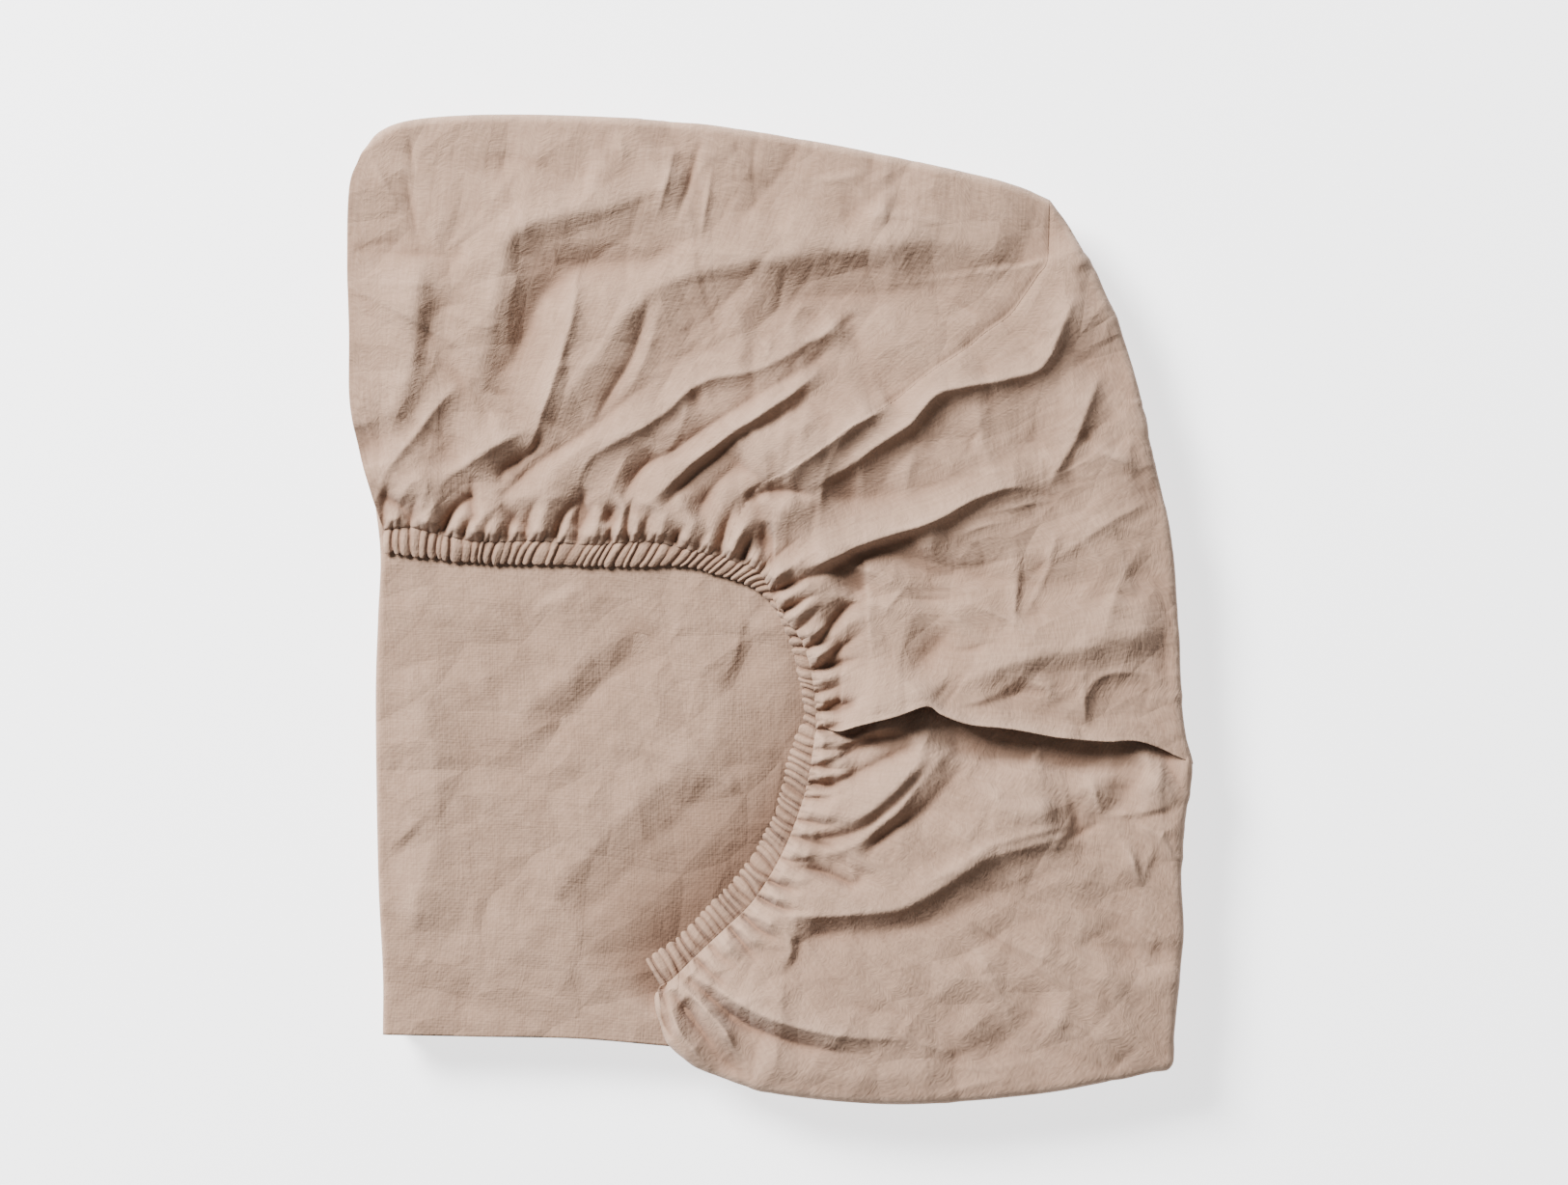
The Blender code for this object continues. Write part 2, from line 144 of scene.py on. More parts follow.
BASE_SHARES = {SOFT: 3.0, CRISP: 1.5}

# Pits and pillows beside the hem: ranges of their lengths and heights, shapes, where a pillow starts, how
# far they stray from the gathers' lean, and seed
PIT_LENGTHS = (8.0, 26.0)
PIT_DEPTHS = (2.2, 6.5)
PIT_SHAPE = (2.0, 1.5, 0.5)
PILLOW_LENGTHS = (8.0, 22.0)
PILLOW_HEIGHTS = (1.0, 3.6)
PILLOW_SHAPE = (3.2, 2.4, 1.2)
PILLOW_START = 2.2
LEAN_STRAY = 0.25
ROOT_SEED = 19

# Small folds strewn over each field: how many, height for their width, and seed. Then the ranges of their
# places as shares of the field, half lengths, bends, widths of thin and wide ones and heights, the share of
# thin ones, how much wider the lit side is, and rounding
LooseFolds = namedtuple("LooseFolds", "count slope seed")
UPPER_LOOSE = LooseFolds(380, 0.4, 171)
FRONT_LOOSE = LooseFolds(380, 0.4, 72)
BASE_LOOSE = LooseFolds(300, 0.12, 73)
LOOSE_PLACES = (0.06, 0.94)
LOOSE_HALF_LENGTHS = (5.0, 28.0)
LOOSE_BENDS = (-0.2, 0.2)
LOOSE_THIN_WIDTHS = (1.1, 2.2)
LOOSE_WIDE_WIDTHS = (2.5, 7.0)
LOOSE_HEIGHTS = (0.4, 1.0)
LOOSE_THIN_SHARE = 0.4
LOOSE_LIT = 1.5
LOOSE_ROUNDING = 0.4

# Smooth noise: size of its cells, seed, and how much of it is used
Noise = namedtuple("Noise", "size seed share")
NOISE_LATTICE = 128

# Gathers: ranges of the grooves' depths and the ridges' heights, the power that rounds a ridge, the range of
# a fine gather's share of its wide one, and seeds
GROOVE_DEPTHS = (0.35, 1.0)
RIDGE_HEIGHTS = (0.75, 1.0)
RIDGE_POWER = 0.55
PLEAT_SHARES = (0.6, 1.4)
PLEAT_SEED, FINE_SEED, WIDE_SEED = 11, 12, 13

# Gathers beside the hem: sway and how it is drawn out away from the hem, reach of the fine ones, reach and
# power of the wide ones' fade, where they start and with how much, their share, and a ridge's middle height
GATHER_SWAY = Noise(9.0, 21, 0.15)
SWAY_DRAW = 0.6
FINE_REACH = 3.0
WIDE_REACH = 9.0
WIDE_POWER = 1.3
WIDE_START = 4.0
WIDE_LEAST = 0.35
WIDE_SHARE = 0.4
RIDGE_MIDDLE = 0.5

# Elastic hem: cells along and around, sway and slant of its pleats over its depth, fade at its ends with its
# power, gap to the base panel, how far it is widened each way, powers of its rounded section, how far the
# pleats scallop the free side, how much lower the free side is, and how strong the pleats are along it. Its
# relief is the ridge's height times the first value plus the second, kept between the last two
HEM_CELLS = (1500, 32)
HEM_DEPTH = 9.0
HEM_SWAY = Noise(6.0, 31, 1.1)
HEM_SLANT = Noise(30.0, 33, 0.9)
SLANT_MIDDLE = 0.1
HEM_END_FADE = 2.5
HEM_END_POWER = 0.5
HEM_GAP = 0.4
HEM_WIDENING = 0.4
HEM_SIDE_POWER = 0.85
HEM_TOP_POWER = 0.8
SCALLOP_DEPTH = 3.2
SCALLOP_MIDDLE = 0.8
FREE_SIDE_DROP = 0.45
PLEAT_LIFT = 1.35
PLEAT_DEPTH = 1.3
PLEAT_PLACES = (0.0, 140.0, 190.0)
PLEAT_STRENGTHS = (0.8, 0.85, 1.1)
# The hem's relief gives painted shade in the pleats' grooves and a faint painted highlight on their tops
HEM_RELIEF = (4.0, -3.3, -1.0, 0.1)

# The hem cut and laid flat: its girth, and its length for each millimetre of the gathered band
HEM_GIRTH = 26.0
HEM_FULLNESS = 1.6

# How far the skirt's front part runs in under the overhanging fold
OVERHANG_REACH = 3.6

# Plan outlines in millimetres, each a smooth curve through its points
BACK_EDGE = (
    (-169, 189.5), (-161.5, 197.5), (-148, 202), (-120, 204), (-80, 203.5), (-40, 201), (0, 196), (48, 187),
    (96, 176), (115, 169),
)
RIGHT_EDGE = (
    (115, 169), (124, 156), (136, 134), (149, 100), (158, 60), (165, 28), (168, -8), (170, -47), (174, -64),
)
CORNER_EDGE = (
    (174, -64), (173, -75), (171, -84), (169, -109), (170, -134), (168, -155), (166, -176), (165, -189),
    (154, -192), (112, -200), (63, -204), (30, -203), (-3, -199), (-20, -194), (-32, -188), (-42, -180),
    (-47, -170), (-49, -160),
)
SIDE_EDGE = (
    (-161, 35), (-164, 44), (-166.5, 52), (-171, 68), (-174.5, 88), (-174.5, 116), (-175, 150),
    (-173.5, 177), (-169, 189.5),
)
LAYERS_LEFT = (
    (-161, -175), (-161, -151), (-163, -109), (-164, -40), (-163, -4), (-162, 23), (-168, 68), (-173, 100),
    (-174, 140), (-174, 166),
)
LAYERS_RIGHT = (*CORNER_EDGE[6::-1], *RIGHT_EDGE[-2::-1], *BACK_EDGE[-2::-1])
BASE_FRONT = ((-161, -176.5), (-120, -177.5), (-80, -178.5), (-40, -182), (0, -185), (25, -187))
BASE_BACK = ((-165, 50), (-100, 50), (-40, 46), (25, 40))
BASE_LEFT = ((-161, -176.5), (-161, -151), (-163, -109), (-164, -40), (-163, -4), (-162, 23), (-165, 50))
BASE_RIGHT = ((25, -186), (30, -120), (30, -40), (25, 40))

# Lines of the hem and the seams, read on the photograph in its pixels
STITCH_BACK = (
    (398, 545), (428, 543), (460, 551), (501, 558), (560, 557), (608, 561), (675, 558), (720, 568),
    (752, 574),
)
STITCH_RIGHT = ((752, 574), (790, 591), (811, 632), (833, 661), (845, 699), (850, 750))
STITCH_FRONT = (
    (850, 750), (842, 804), (831, 845), (812, 891), (784, 936), (757, 963), (728, 990), (699, 1018),
    (686, 1025),
)
FREE_EDGE = (
    (398, 572), (447, 578), (501, 583), (568, 584.5), (648, 587), (707, 586.6), (745, 596), (774, 605),
    (801, 628), (818, 661), (828, 699), (834, 740), (822, 772), (809, 822), (800, 851), (772, 898),
    (740, 933), (704, 971), (669, 996),
)
DART_SEAM = (
    (752, 574), (762, 540), (785, 505), (815, 488), (857, 460), (880, 443), (925, 415), (950, 395),
    (970, 380), (1000, 360), (1020, 343), (1045, 325), (1060, 305), (1075, 282), (1085, 265),
    (1087.5, 208.5),
)
OVERHANG_EDGE = (
    (850, 750), (870, 757), (890, 752), (905, 748), (932, 741), (962, 731), (978, 740), (1006, 750),
    (1050, 755), (1098, 764), (1147, 769), (1180, 769), (1206, 777), (1222, 785), (1235, 791),
)

# Where the wide gathers meet the stitch line, read on the photograph, and how they lean along the hem: the
# way along the stitch line in millimetres, and the lean there
HEM_ROOTS = (
    (398, 545), (426, 543), (461, 551), (480, 556), (501, 558), (525, 557), (545, 557), (575, 558),
    (599, 560), (631, 560), (650, 560), (668, 558), (700, 563), (722, 569), (745, 573), (768, 580),
    (790, 591), (803, 612), (813, 634), (826, 652), (837, 672), (844, 694), (848, 716), (850, 736),
    (850, 756), (848, 776), (844, 794), (841, 812), (838, 829), (832, 850), (824, 870), (814, 893),
    (800, 915), (788, 932), (770, 951), (757, 963), (738, 981), (722, 996), (706, 1011), (686, 1025),
)
LEAN_PLACES = (0.0, 70.0, 140.0, 175.0, 230.0, 300.0, 370.0)
LEANS = (0.55, 0.5, 0.35, -0.1, -0.4, -0.35, 0.1)

# Folds of the skirt. A fold has an edge, the heights of the cloth over the base panel's middle in
# millimetres, spread evenly along it, and its line, read on the photograph in its pixels. A soft fold fades
# slowly, a crisp one soon, and a lip is a crest that fades soon on its shaded side only.
Fold = namedtuple("Fold", "edge heights line")
UPPER_FOLDS = (
    # Left end
    Fold(SOFT, (7.5, 8.2, 8.7, 8.5, 7.9, 7.3), ((715, 180), (660, 207), (620, 218), (585, 224), (550, 234),
         (527, 254), (518, 290), (512, 330), (500, 370), (482, 395))),
    Fold(LIP, (9.5, 10, 8.5), ((478, 397), (455, 422), (435, 448), (418, 468), (400, 492), (393, 508))),
    Fold(SOFT, (6, 5.6, 5.2, 5.2), ((715, 240), (680, 268), (640, 273), (600, 280), (565, 305), (545, 350),
         (525, 385), (505, 402))),
    Fold(SOFT, (8, 8.8, 8.4, 7), ((436, 265), (432, 320), (431, 360), (428, 385), (418, 410), (408, 430),
         (402, 455))),
    Fold(SOFT, (5.9, 5.7), ((460, 300), (445, 350), (444, 385), (437, 415), (428, 440), (420, 462))),
    Fold(SOFT, (5.7, 5.7), ((376, 440), (382, 460), (388, 485))),
    Fold(CRISP, (6, 6), ((395, 455), (397, 475), (400, 490))),
    Fold(SOFT, (6, 5.8, 6), ((435, 476), (458, 480), (482, 474), (502, 466))),
    Fold(LIP, (8, 8, 6), ((425, 475), (440, 500), (450, 518), (458, 538))),
    Fold(CRISP, (3, 3), ((394, 513), (405, 518), (415, 525), (423, 533), (427, 543))),
    Fold(LIP, (8, 10, 10, 8, 6), ((555, 442), (520, 460), (500, 472), (480, 485), (462, 497), (457, 508),
         (460, 522), (470, 538))),
    Fold(CRISP, (4, 3.5), ((492, 492), (490, 520), (495, 540), (500, 552))),
    # Upright thin ridge and the slanting folds right of it
    Fold(LIP, (9, 10, 10, 7), ((600, 275), (596, 320), (590, 345), (580, 380), (570, 410), (560, 437),
         (550, 465), (540, 490), (533, 503))),
    Fold(CRISP, (4, 3.2, 3.2), ((566, 445), (555, 466), (540, 478), (522, 490), (522, 506))),
    Fold(CRISP, (5, 4.5), ((676, 305), (668, 335), (657, 370), (644, 392), (628, 418), (618, 440))),
    Fold(LIP, (8, 8, 6), ((686, 312), (680, 338), (669, 372), (657, 396), (642, 420), (630, 440))),
    Fold(SOFT, (7.5, 8, 8.4, 8.4, 8.4, 8, 7.2), ((575, 440), (590, 410), (605, 385), (625, 358), (648, 328),
         (675, 304), (710, 287), (750, 277), (800, 268), (850, 262), (900, 258), (950, 250), (1010, 255),
         (1060, 268))),
    Fold(SOFT, (6.6, 6.2, 5.6, 6, 6.5), ((690, 385), (720, 368), (760, 350), (800, 330), (830, 312),
         (880, 306), (940, 302), (1000, 293), (1050, 287), (1080, 280))),
    Fold(LIP, (7.4, 8.6, 9.6, 10, 9.6, 8), ((890, 318), (865, 340), (835, 358), (800, 378), (770, 388),
         (740, 393), (715, 405), (690, 428), (660, 448), (630, 463), (612, 476), (603, 492), (599, 510))),
    Fold(CRISP, (6, 5, 4), ((690, 388), (650, 415), (620, 440), (590, 460), (560, 480), (540, 497),
         (518, 520))),
    Fold(CRISP, (4, 3), ((518, 523), (530, 535), (545, 545), (553, 550))),
    Fold(LIP, (8, 6), ((560, 498), (568, 515), (563, 538))),
    Fold(CRISP, (3.5, 3), ((606, 505), (604, 530), (598, 550))),
    Fold(LIP, (8, 6), ((622, 508), (620, 530), (612, 548))),
    Fold(CRISP, (6, 5, 3.5), ((880, 345), (860, 362), (840, 379), (800, 402), (760, 427), (730, 446),
         (700, 467), (670, 482), (655, 500), (645, 520))),
    Fold(LIP, (9.5, 11.5, 11, 7.5), ((850, 380), (835, 398), (815, 413), (790, 430), (760, 449), (740, 464),
         (720, 479), (700, 497), (680, 515), (663, 532))),
    Fold(CRISP, (5.6, 4.6, 4), ((846, 403), (825, 423), (795, 440), (765, 455), (742, 474), (724, 488),
         (700, 512), (685, 530))),
    Fold(CRISP, (3, 3), ((645, 525), (632, 536), (630, 547))),
    Fold(LIP, (8, 6), ((712, 505), (704, 528), (700, 544))),
    Fold(LIP, (12, 12, 9, 6), ((925, 418), (880, 445), (845, 470), (815, 490), (785, 502), (768, 512),
         (755, 527), (745, 540))),
    Fold(CRISP, (6, 4), ((775, 460), (765, 480), (745, 500), (730, 520), (722, 542))),
    Fold(SOFT, (7.6, 8), ((845, 425), (820, 445), (795, 468), (778, 490))),
    # Right of the dart
    Fold(LIP, (9, 12, 12, 8), ((1112, 305), (1097, 345), (1080, 380), (1055, 391), (1000, 402), (972, 409),
         (955, 425), (943, 440), (925, 452), (905, 465), (885, 480), (865, 492), (848, 503), (830, 508))),
    Fold(SOFT, (6.4, 6, 5.7, 5.2), ((1105, 410), (1090, 432), (1070, 455), (1045, 474), (1010, 489),
         (960, 506), (900, 516), (850, 515))),
    Fold(CRISP, (4, 3), ((850, 515), (820, 510), (795, 510), (772, 520))),
    Fold(LIP, (8.5, 11, 13, 12.5, 9.5), ((1082, 510), (1050, 505), (1015, 515), (1000, 522), (965, 541),
         (920, 556), (890, 566), (860, 580), (835, 588), (822, 590))),
    Fold(SOFT, (8, 8), ((786, 526), (800, 522), (820, 526), (845, 530))),
    Fold(LIP, (7, 8, 6), ((765, 532), (776, 546), (781, 560), (788, 580))),
    Fold(CRISP, (3.5, 3), ((794, 540), (792, 560), (794, 585))),
    Fold(LIP, (7, 9), ((804, 620), (806, 602), (815, 584))),
    Fold(CRISP, (4, 4, 5), ((836, 602), (862, 591), (890, 576), (920, 565), (965, 549))),
    Fold(SOFT, (5.3, 5.3, 5.9, 6.2), ((860, 592), (885, 585), (905, 574), (930, 574), (970, 590),
         (1030, 600), (1100, 605), (1180, 600), (1205, 590))),
    Fold(LIP, (9, 7), ((965, 545), (964, 562), (966, 588))),
    Fold(LIP, (9, 8), ((1190, 520), (1150, 540), (1120, 560), (1085, 585))),
    Fold(CRISP, (6, 5), ((1088, 578), (1078, 588), (1069, 598))),
    Fold(CRISP, (6.5, 6), ((1175, 548), (1170, 575), (1166, 608))),
    Fold(SOFT, (7, 7.8, 7.6, 7), ((1105, 235), (1117, 258), (1119, 285), (1114, 303), (1117, 325),
         (1130, 342), (1143, 360))),
    Fold(CRISP, (6, 6.5), ((1150, 335), (1147, 350), (1145, 375))),
    Fold(LIP, (9, 10, 10, 9), ((1142, 385), (1130, 410), (1119, 440), (1108, 465), (1092, 490),
         (1082, 512))),
    Fold(SOFT, (7, 7), ((1130, 450), (1145, 468), (1150, 495))),
    Fold(CRISP, (8.5, 8), ((1130, 465), (1165, 480), (1180, 495))),
    # Beside the hem, below the sweep
    Fold(LIP, (8, 7), ((857, 580), (850, 610), (842, 632), (832, 652))),
    Fold(CRISP, (3, 2.8, 3), ((903, 622), (880, 628), (868, 640), (856, 655), (845, 670))),
    Fold(SOFT, (5.4, 5.4), ((893, 590), (888, 605), (884, 622))),
    Fold(LIP, (9, 8, 6), ((905, 633), (882, 644), (864, 660), (850, 674))),
    Fold(CRISP, (4, 3), ((897, 652), (885, 662), (868, 674), (858, 684), (847, 702))),
    Fold(SOFT, (5.5, 5), ((938, 706), (960, 680), (993, 645))),
    Fold(CRISP, (5.5, 6), ((940, 612), (970, 612), (1005, 617))),
    Fold(SOFT, (7.6, 8.8, 8.8, 8, 7.2), ((1212, 643), (1180, 655), (1120, 669), (1060, 682), (1000, 700),
         (960, 712), (930, 720), (905, 727), (870, 722))),
    Fold(CRISP, (7.6, 7.8, 7.2), ((1120, 752), (1123, 725), (1134, 704), (1160, 696), (1200, 700))),
    Fold(CRISP, (8, 7.8), ((1053, 697), (1070, 708), (1085, 713), (1095, 730))),
    Fold(CRISP, (3, 3), ((852, 735), (870, 731), (890, 729))),
    Fold(LIP, (8.5, 11.5, 13.5, 13.5, 12, 9, 6.7), OVERHANG_EDGE),
)
FRONT_FOLDS = (
    # Below the overhang
    Fold(SOFT, (5.0, 4.5, 5.0), ((850, 744), (870, 748), (905, 738), (932, 731), (962, 721), (1006, 738),
         (1098, 752), (1180, 757), (1235, 779))),
    Fold(SOFT, (5.6, 5.3, 5.2, 5.3), ((960, 762), (1000, 775), (1050, 783), (1098, 788), (1150, 794),
         (1190, 796))),
    Fold(SOFT, (7.2, 7.5, 7.2), ((1118, 782), (1130, 810), (1142, 842))),
    Fold(SOFT, (7.2, 7.5, 7.2), ((1182, 800), (1200, 812), (1218, 805))),
    Fold(SOFT, (6, 6), ((1190, 792), (1205, 786), (1222, 780))),
    Fold(CRISP, (5, 5, 6), ((1143, 848), (1170, 844), (1200, 841), (1215, 836), (1235, 818))),
    Fold(CRISP, (8, 7, 8), ((1180, 852), (1192, 863), (1203, 864), (1215, 850))),
    Fold(CRISP, (7, 7.5, 7), ((1165, 870), (1175, 895), (1181, 918))),
    Fold(CRISP, (6, 6), ((1195, 868), (1190, 885), (1182, 915))),
    Fold(LIP, (6, 9, 10, 7), ((842, 780), (860, 777), (880, 768), (900, 758), (940, 750))),
    Fold(CRISP, (3, 3), ((850, 764), (870, 762), (890, 756), (905, 750))),
    Fold(CRISP, (3, 3.5, 4), ((846, 794), (862, 789), (880, 780), (905, 768), (940, 760))),
    Fold(LIP, (6, 8, 8, 6), ((840, 806), (862, 798), (885, 780), (903, 770), (935, 766))),
    Fold(CRISP, (3.4, 4, 4, 4), ((838, 820), (862, 812), (890, 800), (920, 785), (950, 768))),
    Fold(LIP, (6, 9, 9, 6), ((838, 842), (855, 850), (880, 849), (900, 840), (920, 823), (940, 803),
         (955, 785), (985, 766))),
    Fold(CRISP, (3.2, 4, 4, 4), ((832, 864), (860, 868), (885, 862), (905, 850), (930, 830), (950, 808),
         (970, 785))),
    Fold(LIP, (6, 9, 11, 9, 7), ((826, 882), (850, 884), (872, 880), (890, 871), (907, 857), (930, 838),
         (948, 815), (965, 795), (985, 776), (1005, 766))),
    Fold(CRISP, (3, 4, 5, 5), ((895, 892), (905, 875), (930, 856), (960, 836), (985, 808), (1000, 788))),
    Fold(CRISP, (3.4, 3.2, 4), ((813, 897), (845, 902), (865, 908), (885, 915), (898, 898))),
    Fold(SOFT, (7, 7.8, 7.6), ((1010, 800), (1040, 830), (1075, 840), (1110, 835))),
    # Long lip and the cloth below it
    Fold(LIP, (8.5, 10, 10, 9.6, 8), ((792, 943), (840, 948), (880, 946), (920, 942), (940, 937), (960, 926),
         (983, 912), (1000, 900), (1018, 888), (1040, 882), (1080, 871), (1120, 859))),
    Fold(SOFT, (5.7, 5.6, 5.9, 6.3), ((824, 965), (850, 967), (900, 964), (960, 956), (1000, 938),
         (1060, 908), (1100, 880))),
    Fold(CRISP, (7, 8, 6), ((795, 952), (812, 962), (819, 976), (818, 990), (808, 1000), (795, 1007))),
    Fold(CRISP, (5.2, 5.4), ((826, 968), (828, 985), (818, 1003), (800, 1014))),
    Fold(LIP, (9.5, 11, 11, 9.5, 7.5), ((723, 1008), (740, 1020), (758, 1032), (776, 1042), (793, 1050),
         (820, 1059), (850, 1066), (880, 1071), (914, 1073), (950, 1076))),
    Fold(CRISP, (4, 4.5, 6), ((735, 1042), (760, 1056), (785, 1066), (820, 1078), (870, 1088),
         (910, 1090))),
    Fold(CRISP, (10, 10, 9.5, 8), ((704, 1016), (732, 1044), (752, 1066), (768, 1100))),
    Fold(CRISP, (2, 2, 3, 5), ((694, 1024), (714, 1050), (732, 1074), (748, 1096))),
    Fold(CRISP, (10, 9.5, 9, 8), ((685, 1022), (699, 1055), (715, 1080), (740, 1108))),
    Fold(CRISP, (3, 3, 4.5), ((681, 1030), (686, 1055), (698, 1085))),
    Fold(CRISP, (2, 2.5, 3.5, 5), ((712, 1012), (742, 1038), (765, 1056), (785, 1072))),
    Fold(SOFT, (5.6, 6), ((728, 1075), (755, 1098), (780, 1118))),
    Fold(SOFT, (7.0, 7.4, 7.2), ((760, 1095), (830, 1108), (910, 1112), (990, 1104))),
    Fold(SOFT, (5.9, 5.9), ((1010, 1100), (1060, 1060), (1090, 1010))),
    Fold(SOFT, (7.1, 7.3), ((1130, 1100), (1150, 1040), (1155, 980))),
    Fold(CRISP, (8, 8, 7), ((1068, 965), (1080, 975), (1095, 990), (1121, 1010))),
    Fold(CRISP, (7, 7, 6), ((1100, 1030), (1097, 1050), (1088, 1067), (1070, 1087), (1050, 1108))),
    Fold(LIP, (7.2, 7.6, 7.2), ((1108, 1005), (1105, 1040), (1098, 1062), (1083, 1082))),
)

# Thin creases of the skirt, which add to its height: ridges above nought, furrows below
Crease = namedtuple("Crease", "height line")
UPPER_CREASES = (
    Crease(-0.9, ((425, 140), (428, 160), (430, 180))),
    Crease(-1.0, ((421, 179), (428, 215), (437, 257))),
    Crease(1.2, ((388, 168), (400, 192), (415, 216))),
    Crease(-0.6, ((370, 258), (395, 254), (420, 253))),
    Crease(0.6, ((445, 225), (452, 245), (460, 265))),
    Crease(0.6, ((445, 358), (452, 372), (458, 385))),
    Crease(-0.9, ((500, 405), (520, 409), (540, 412))),
    Crease(0.8, ((495, 415), (486, 400), (480, 385))),
    Crease(-0.8, ((495, 415), (505, 428), (512, 440))),
    Crease(0.9, ((842, 190), (870, 187), (900, 182))),
    Crease(-1.1, ((729, 140), (722, 165), (713, 200), (700, 235))),
    Crease(1.1, ((738, 175), (733, 210), (727, 250))),
    Crease(1.0, ((700, 150), (692, 190), (680, 230))),
    Crease(-0.8, ((815, 277), (810, 305), (804, 330))),
    Crease(0.8, ((799, 345), (797, 360), (795, 375))),
    Crease(-0.7, ((737, 330), (750, 342))),
    Crease(-0.7, ((708, 340), (720, 353))),
    Crease(0.7, ((642, 140), (645, 155), (648, 170))),
    Crease(-0.6, ((610, 160), (606, 185), (604, 215))),
    Crease(-0.7, ((1020, 440), (1008, 455), (1002, 475))),
    Crease(0.7, ((1022, 533), (1060, 524), (1090, 518))),
    Crease(-0.8, ((1122, 445), (1126, 453), (1130, 462))),
    Crease(0.7, ((1180, 465), (1188, 472), (1195, 480))),
    Crease(-0.6, ((977, 672), (1005, 674), (1035, 674))),
    Crease(-0.8, DART_SEAM[1:]),
    Crease(0.8, ((1000, 625), (1040, 640), (1075, 662))),
    Crease(-0.6, ((1120, 625), (1150, 615), (1185, 622))),
    Crease(0.7, ((1110, 545), (1135, 575), (1150, 600))),
    Crease(-0.6, ((1010, 560), (1020, 580), (1022, 600))),
    Crease(0.8, ((912, 642), (926, 622), (946, 600))),
    Crease(1.2, ((1056, 575), (1052, 620), (1049, 662))),
    Crease(-0.7, ((1049, 662), (1022, 668), (990, 676))),
    Crease(0.8, ((1126, 756), (1121, 722), (1122, 690))),
    Crease(-0.7, ((930, 618), (965, 622), (1005, 617))),
    Crease(0.7, ((985, 560), (1010, 548), (1045, 540))),
    Crease(0.7, ((1095, 545), (1085, 590), (1060, 640))),
    Crease(-0.7, ((960, 300), (1000, 320), (1035, 332))),
    Crease(0.7, ((880, 220), (940, 228), (1000, 240))),
)
FRONT_CREASES = (
    Crease(1.5, ((1182, 918), (1189, 892), (1196, 868))),
    Crease(1.4, ((1163, 868), (1173, 893), (1181, 918))),
    Crease(1.2, ((1200, 862), (1210, 880), (1220, 900))),
    Crease(1.5, ((1140, 846), (1180, 842), (1215, 834))),
    Crease(1.4, ((1128, 800), (1134, 825), (1142, 848))),
    Crease(-1.3, ((1142, 850), (1120, 862), (1100, 870))),
    Crease(0.8, ((950, 918), (990, 898), (1020, 878), (1060, 865), (1118, 852))),
    Crease(-0.9, ((1068, 965), (1080, 975), (1095, 990), (1121, 1010))),
    Crease(-0.8, ((1097, 1067), (1107, 1065), (1115, 1070))),
    Crease(-0.8, ((1140, 1118), (1170, 1090), (1180, 1082))),
    Crease(0.7, ((960, 1138), (1000, 1125), (1050, 1113))),
    Crease(0.7, ((940, 1076), (962, 1082), (985, 1090))),
    Crease(-0.7, ((725, 1083), (760, 1105), (780, 1120))),
    Crease(0.6, ((1020, 800), (1035, 830), (1062, 850))),
    Crease(-0.6, ((1060, 800), (1080, 822), (1105, 835))),
    Crease(0.6, ((1100, 930), (1130, 960), (1165, 975))),
)

# Creases and waves of the open part of the base panel, read in the same way. Heights are over its own level.
BASE_FOLDS = (
    Fold(CRISP, (0.9, 1.2, 0.6), ((398, 888), (410, 875), (425, 860), (437, 848), (447, 838))),
    Fold(CRISP, (-0.5, -0.4), ((404, 895), (425, 872), (450, 848))),
    Fold(SOFT, (0.9, 1.1, 0.8), ((425, 690), (437, 730), (447, 770), (452, 820), (450, 870), (440, 905),
         (430, 940), (418, 975))),
    Fold(CRISP, (-0.5, -0.7), ((396, 600), (405, 585), (412, 575))),
    Fold(CRISP, (0.9, 0.7), ((769, 639), (762, 680), (745, 711))),
    Fold(SOFT, (-0.6, -0.8), ((780, 650), (772, 690), (755, 722))),
    Fold(CRISP, (0.7, 0.6), ((711, 632), (700, 655), (690, 680))),
    Fold(CRISP, (0.5, 0.6), ((542, 639), (587, 618), (614, 605))),
    Fold(CRISP, (-0.6, -0.4), ((750, 796), (775, 792), (800, 789))),
    Fold(CRISP, (0.7, 0.4), ((757, 797), (757, 815), (757, 835))),
    Fold(SOFT, (0.5, 0.7, 0.8, 0.6), ((715, 640), (742, 700), (740, 760), (715, 820), (680, 870), (640, 920),
         (600, 970), (575, 1030))),
    Fold(SOFT, (0.8, 0.9, 0.8), ((520, 760), (590, 700), (650, 650))),
    Fold(SOFT, (-1.0, -1.2, -1.0), ((560, 770), (620, 710), (690, 645))),
    Fold(SOFT, (0.9, 1.0, 0.8), ((570, 930), (650, 840), (730, 770))),
    Fold(SOFT, (-1.1, -1.3, -1.0), ((600, 960), (680, 870), (745, 805))),
    Fold(SOFT, (0.4, 0.6, 0.3), ((480, 1030), (540, 980), (590, 900))),
    Fold(SOFT, (-0.6, -0.4), ((500, 820), (540, 780), (580, 720))),
)

# Grids: the skirt's cells along the hem and across, cells around a turn at an outline, the base panel's
BACK_CELLS = (440, 170)
RIGHT_CELLS = (360, 190)
FRONT_CELLS = (520, 140)
TURN_CELLS = 8
BASE_CELLS = (230, 230)

# The base panel's left edge: radius of its turn, the power that draws the rows in there, and how far from
# its sides the waves reach their full height
BASE_RADIUS = 2.0
BASE_INSET_POWER = 8
BASE_FADE = 12.0

